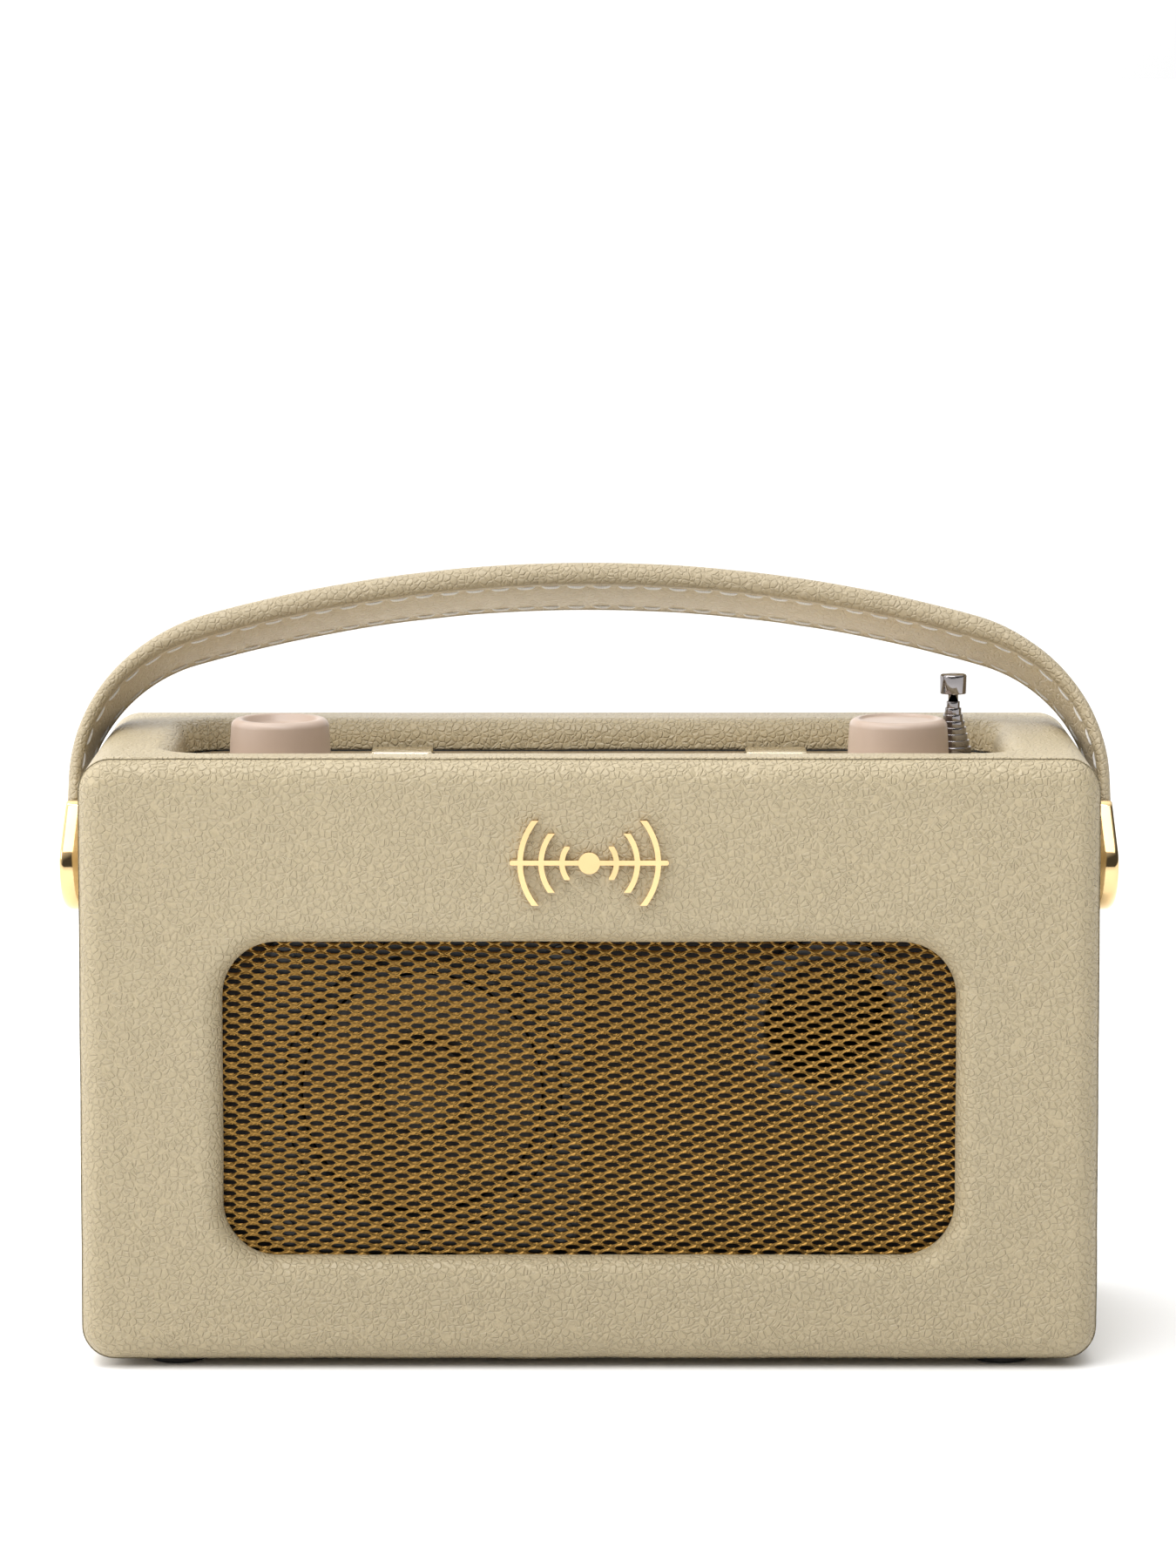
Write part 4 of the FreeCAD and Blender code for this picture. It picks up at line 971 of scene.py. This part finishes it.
def knob_outline(dish):
    """The knob's outside, rim and dish, from the foot up, then its hollow foot."""
    base = 12.6 * MM
    top = 12.1 * MM
    high = 11.1 * MM
    soft = 1.9 * MM
    outline = [(base - 0.35 * MM, 0.0), (base, 0.3 * MM)]
    outline += [(base - 0.1 * MM, 2.5 * MM), (base - 0.25 * MM, 5.5 * MM)]
    outline += arc((top - soft, high - soft), soft, 4, 80, 10)
    outline += dish
    outline += [(0.0, 5.2 * MM), (5.4 * MM, 5.2 * MM), (5.4 * MM, 3.2 * MM), (10.4 * MM, 3.0 * MM)]
    outline += [(10.7 * MM, 0.0)]
    return outline


def make_knobs():
    for node, dish in (("volume_knob", VOLUME_DISH), ("tuning_knob", TUNING_INSET)):
        low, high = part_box(node)
        centre = Vector(((low.x + high.x) / 2, (low.y + high.y) / 2, low.z))
        cut = [(r * MM, z * MM) for r, z in dish]
        name = node.replace("_knob", "_dial")
        lathe(name, knob_outline(cut), centre, UP, node, "soft_touch", (node,), steps=128, closed=True)


def tablet(name, low, high, radius, edge, crown, body, slot, stands_for):
    """A rounded key: straight sides, a soft top edge and a slightly raised middle."""
    half_u = (high.x - low.x) / 2
    half_v = (high.y - low.y) / 2
    centre = Vector(((low.x + high.x) / 2, (low.y + high.y) / 2, 0))

    def ring(inset, z, shrink=1.0):
        loop = round_loop(half_u - inset, half_v - inset, max(radius - inset, 0.3 * MM), 6, 5, 8)
        return [centre + Vector((u * shrink, v * shrink, z)) for u, v in loop]

    rings = [ring(0.5 * MM, low.z), ring(0, low.z + 0.1 * MM), ring(0, high.z - edge)]
    for i in range(1, 6):
        turn = math.radians(90 * i / 5)
        rings.append(ring(edge * (1 - math.cos(turn)), high.z - edge * (1 - math.sin(turn)) - crown))
    for shrink in (0.8, 0.55, 0.3, 0.02):
        rings.append(ring(edge, high.z - crown * shrink * shrink, shrink))
    points, faces = skin(rings)
    count = len(rings[0])
    faces.append(tuple(reversed(range(count))))
    faces.append(tuple(range(len(points) - count, len(points))))
    merge(build(name, points, faces, body, slot, stands_for))


def make_keys():
    for node in sorted(NODES):
        if not node.startswith("key_left") and not node.startswith("key_right"):
            continue
        low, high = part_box(node)
        foot = Vector((low.x, low.y, high.z - 2.8 * MM))
        tablet(node + "_cap", foot, high, 1.3 * MM, 0.5 * MM, 0.12 * MM, node, "key_gilt", (node,))


# ------------------------------------------------------------------ aerial
def make_aerial():
    low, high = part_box("aerial_tip")
    centre = Vector(((low.x + high.x) / 2, (low.y + high.y) / 2, 0))
    for node in ["aerial_base"] + ["aerial_section_" + str(i) for i in range(1, 8)]:
        low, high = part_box(node)
        collar = node == "aerial_base"
        radius = (high.x - low.x) / 2 - (0.15 * MM if collar else 0)
        wall = 0.25 * MM
        bottom = low.z
        outline = [(radius - wall, bottom), (radius, bottom)]
        if collar:
            step = PANEL_Z + 0.4 * MM
            outline += [(radius, step), (radius + 0.15 * MM, step + 0.1 * MM)]
            outline += arc((radius - 0.2 * MM, high.z - 0.35 * MM), 0.35 * MM, 0, 90, 5)
        else:
            outline += [(radius, high.z - 1.5 * MM)]
            outline += arc((radius - 0.18 * MM, high.z - 0.18 * MM), 0.18 * MM, 0, 90, 5)
        outline += [(radius - wall, high.z), (radius - wall, high.z - 2 * MM)]
        lathe(node + "_tube", outline, centre, UP, node, "chrome", (node,), steps=48, closed=True)
    low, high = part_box("aerial_tip")
    cap = high.z - 4.9 * MM
    rod = 1.25 * MM
    tip = 3.33 * MM
    outline = [(0, low.z), (rod, low.z), (rod, cap - 0.1 * MM)]
    outline += arc((tip - 0.3 * MM, cap + 0.3 * MM), 0.3 * MM, -90, 0, 4)
    outline += arc((tip - 0.55 * MM, high.z - 0.55 * MM), 0.55 * MM, 0, 90, 6)
    outline += [(1.2 * MM, high.z - 0.02 * MM), (0, high.z)]
    lathe("aerial_rod_tip", outline, centre, UP, "aerial_tip", "chrome", ("aerial_tip",), steps=64)


# ------------------------------------------------------------------ CAD nodes that stay
SLOTS = {row["node"]: row["material_slot"] for row in frame["record"]["subparts"]}
# The driver's basket and screws take the near-black steel: black paint plus painted shade behind the
# grille.
BLACK_PAINT_AND_SHADE = {"driver_basket": "black_steel_and_shade", "driver_screws": "black_steel_and_shade"}
EDGES = {
    "back_panel": 0.35, "battery_door": 0.35, "control_panel": 0.25, "badge": 0.28,
    "audio_sockets": 0.25, "dc_socket": 0.25, "usb_socket": 0.12, "back_panel_screws": 0.15,
    "feet": 0.3, "display_window": 0.2, "driver_basket": 0.3, "driver_screws": 0.12,
    "bass_port": 0.2, "panel_chassis": 0.3, "encoder_nuts": 0.15, "handle_bushes": 0.15,
}


def finish_cad_nodes():
    for name, node in NODES.items():
        if node.hide_render:
            continue
        node.data.materials.clear()
        node.data.materials.append(MATERIALS[BLACK_PAINT_AND_SHADE.get(name, SLOTS[name])])
        if name in EDGES:
            ease(node, EDGES[name] * MM)


# ------------------------------------------------------------------ stage
# Name, place, what it points at, size and watts.
LIGHTS = (
    ("key", (-1.2, -0.55, 0.6), (0, 0, 0.1), (0.4, 0.4), 2.4),
    ("strip", (-0.22, -0.30, 1.05), (0, 0, 0.13), (1.1, 0.18), 5.6),
    ("card", (-0.05, -0.80, 0.95), (0, 0, 0.15), (0.9, 0.34), 2.4),
)
FLOOR = 60.0
SKY_SLOPE = (-0.90, 0.84, 1.42)
SKY_LEVEL = 0.26
SKY_LOWEST = 0.07
LENS = 125.83
SENSOR = 36
SHIFT = -0.1389
CAMERA_PLACE = (-0.00029, -1.3467, 0.3145 + BASE_Z)
CAMERA_DIP = 0.0937


def area(name, place, target, size, power):
    light = bpy.data.lights.new(name, "AREA")
    light.shape = "RECTANGLE"
    light.size = size[0]
    light.size_y = size[1]
    light.energy = power
    lamp = bpy.data.objects.new(name, light)
    lamp.location = place
    lamp.rotation_euler = (Vector(target) - Vector(place)).to_track_quat("-Z", "Y").to_euler()
    bpy.context.scene.collection.objects.link(lamp)


def make_floor():
    size = FLOOR
    mesh = bpy.data.meshes.new("floor")
    corners = [(-size, -size, 0), (size, -size, 0), (size, size, 0), (-size, size, 0)]
    mesh.from_pydata(corners, [], [(0, 1, 2, 3)])
    floor = bpy.data.objects.new("floor", mesh)
    bpy.context.scene.collection.objects.link(floor)
    recipe = Recipe("pale_floor", (0.9, 0.9, 0.9), 0.85)
    recipe.color(recipe.mix(recipe.noise(3, 2.0), (0.97, 0.97, 0.97), (0.985, 0.985, 0.985)))
    mesh.materials.append(recipe.material)


def make_world():
    """A studio that is white behind and above, and dark low down in front and on the right."""
    world = bpy.data.worlds.new("studio")
    world.use_nodes = True
    bpy.context.scene.world = world
    nodes = world.node_tree.nodes
    links = world.node_tree.links
    coords = nodes.new("ShaderNodeTexCoord")
    slope = nodes.new("ShaderNodeVectorMath")
    slope.operation = "DOT_PRODUCT"
    slope.inputs[1].default_value = SKY_SLOPE
    links.new(coords.outputs["Generated"], slope.inputs[0])
    level = nodes.new("ShaderNodeMath")
    level.operation = "ADD"
    level.inputs[1].default_value = SKY_LEVEL
    links.new(slope.outputs["Value"], level.inputs[0])
    floor = nodes.new("ShaderNodeMath")
    floor.operation = "MAXIMUM"
    floor.inputs[1].default_value = SKY_LOWEST
    links.new(level.outputs[0], floor.inputs[0])
    links.new(floor.outputs[0], nodes["Background"].inputs["Strength"])
    nodes["Background"].inputs["Color"].default_value = (1, 1, 1, 1)


def make_camera():
    data = bpy.data.cameras.new("camera")
    data.sensor_width = SENSOR
    data.lens = LENS
    data.shift_y = SHIFT
    camera = bpy.data.objects.new("camera", data)
    camera.location = CAMERA_PLACE
    camera.rotation_euler = (math.radians(90) - CAMERA_DIP, 0, 0)
    bpy.context.scene.collection.objects.link(camera)
    bpy.context.scene.camera = camera


make_camera()
make_world()
make_floor()
for row in LIGHTS:
    area(*row)
bpy.context.scene.view_settings.view_transform = "Standard"

make_front_cover()
make_body_cover()
make_grille()
make_grille_border()
make_loudspeaker()
make_handle()
make_knobs()
make_keys()
make_aerial()
finish_cad_nodes()
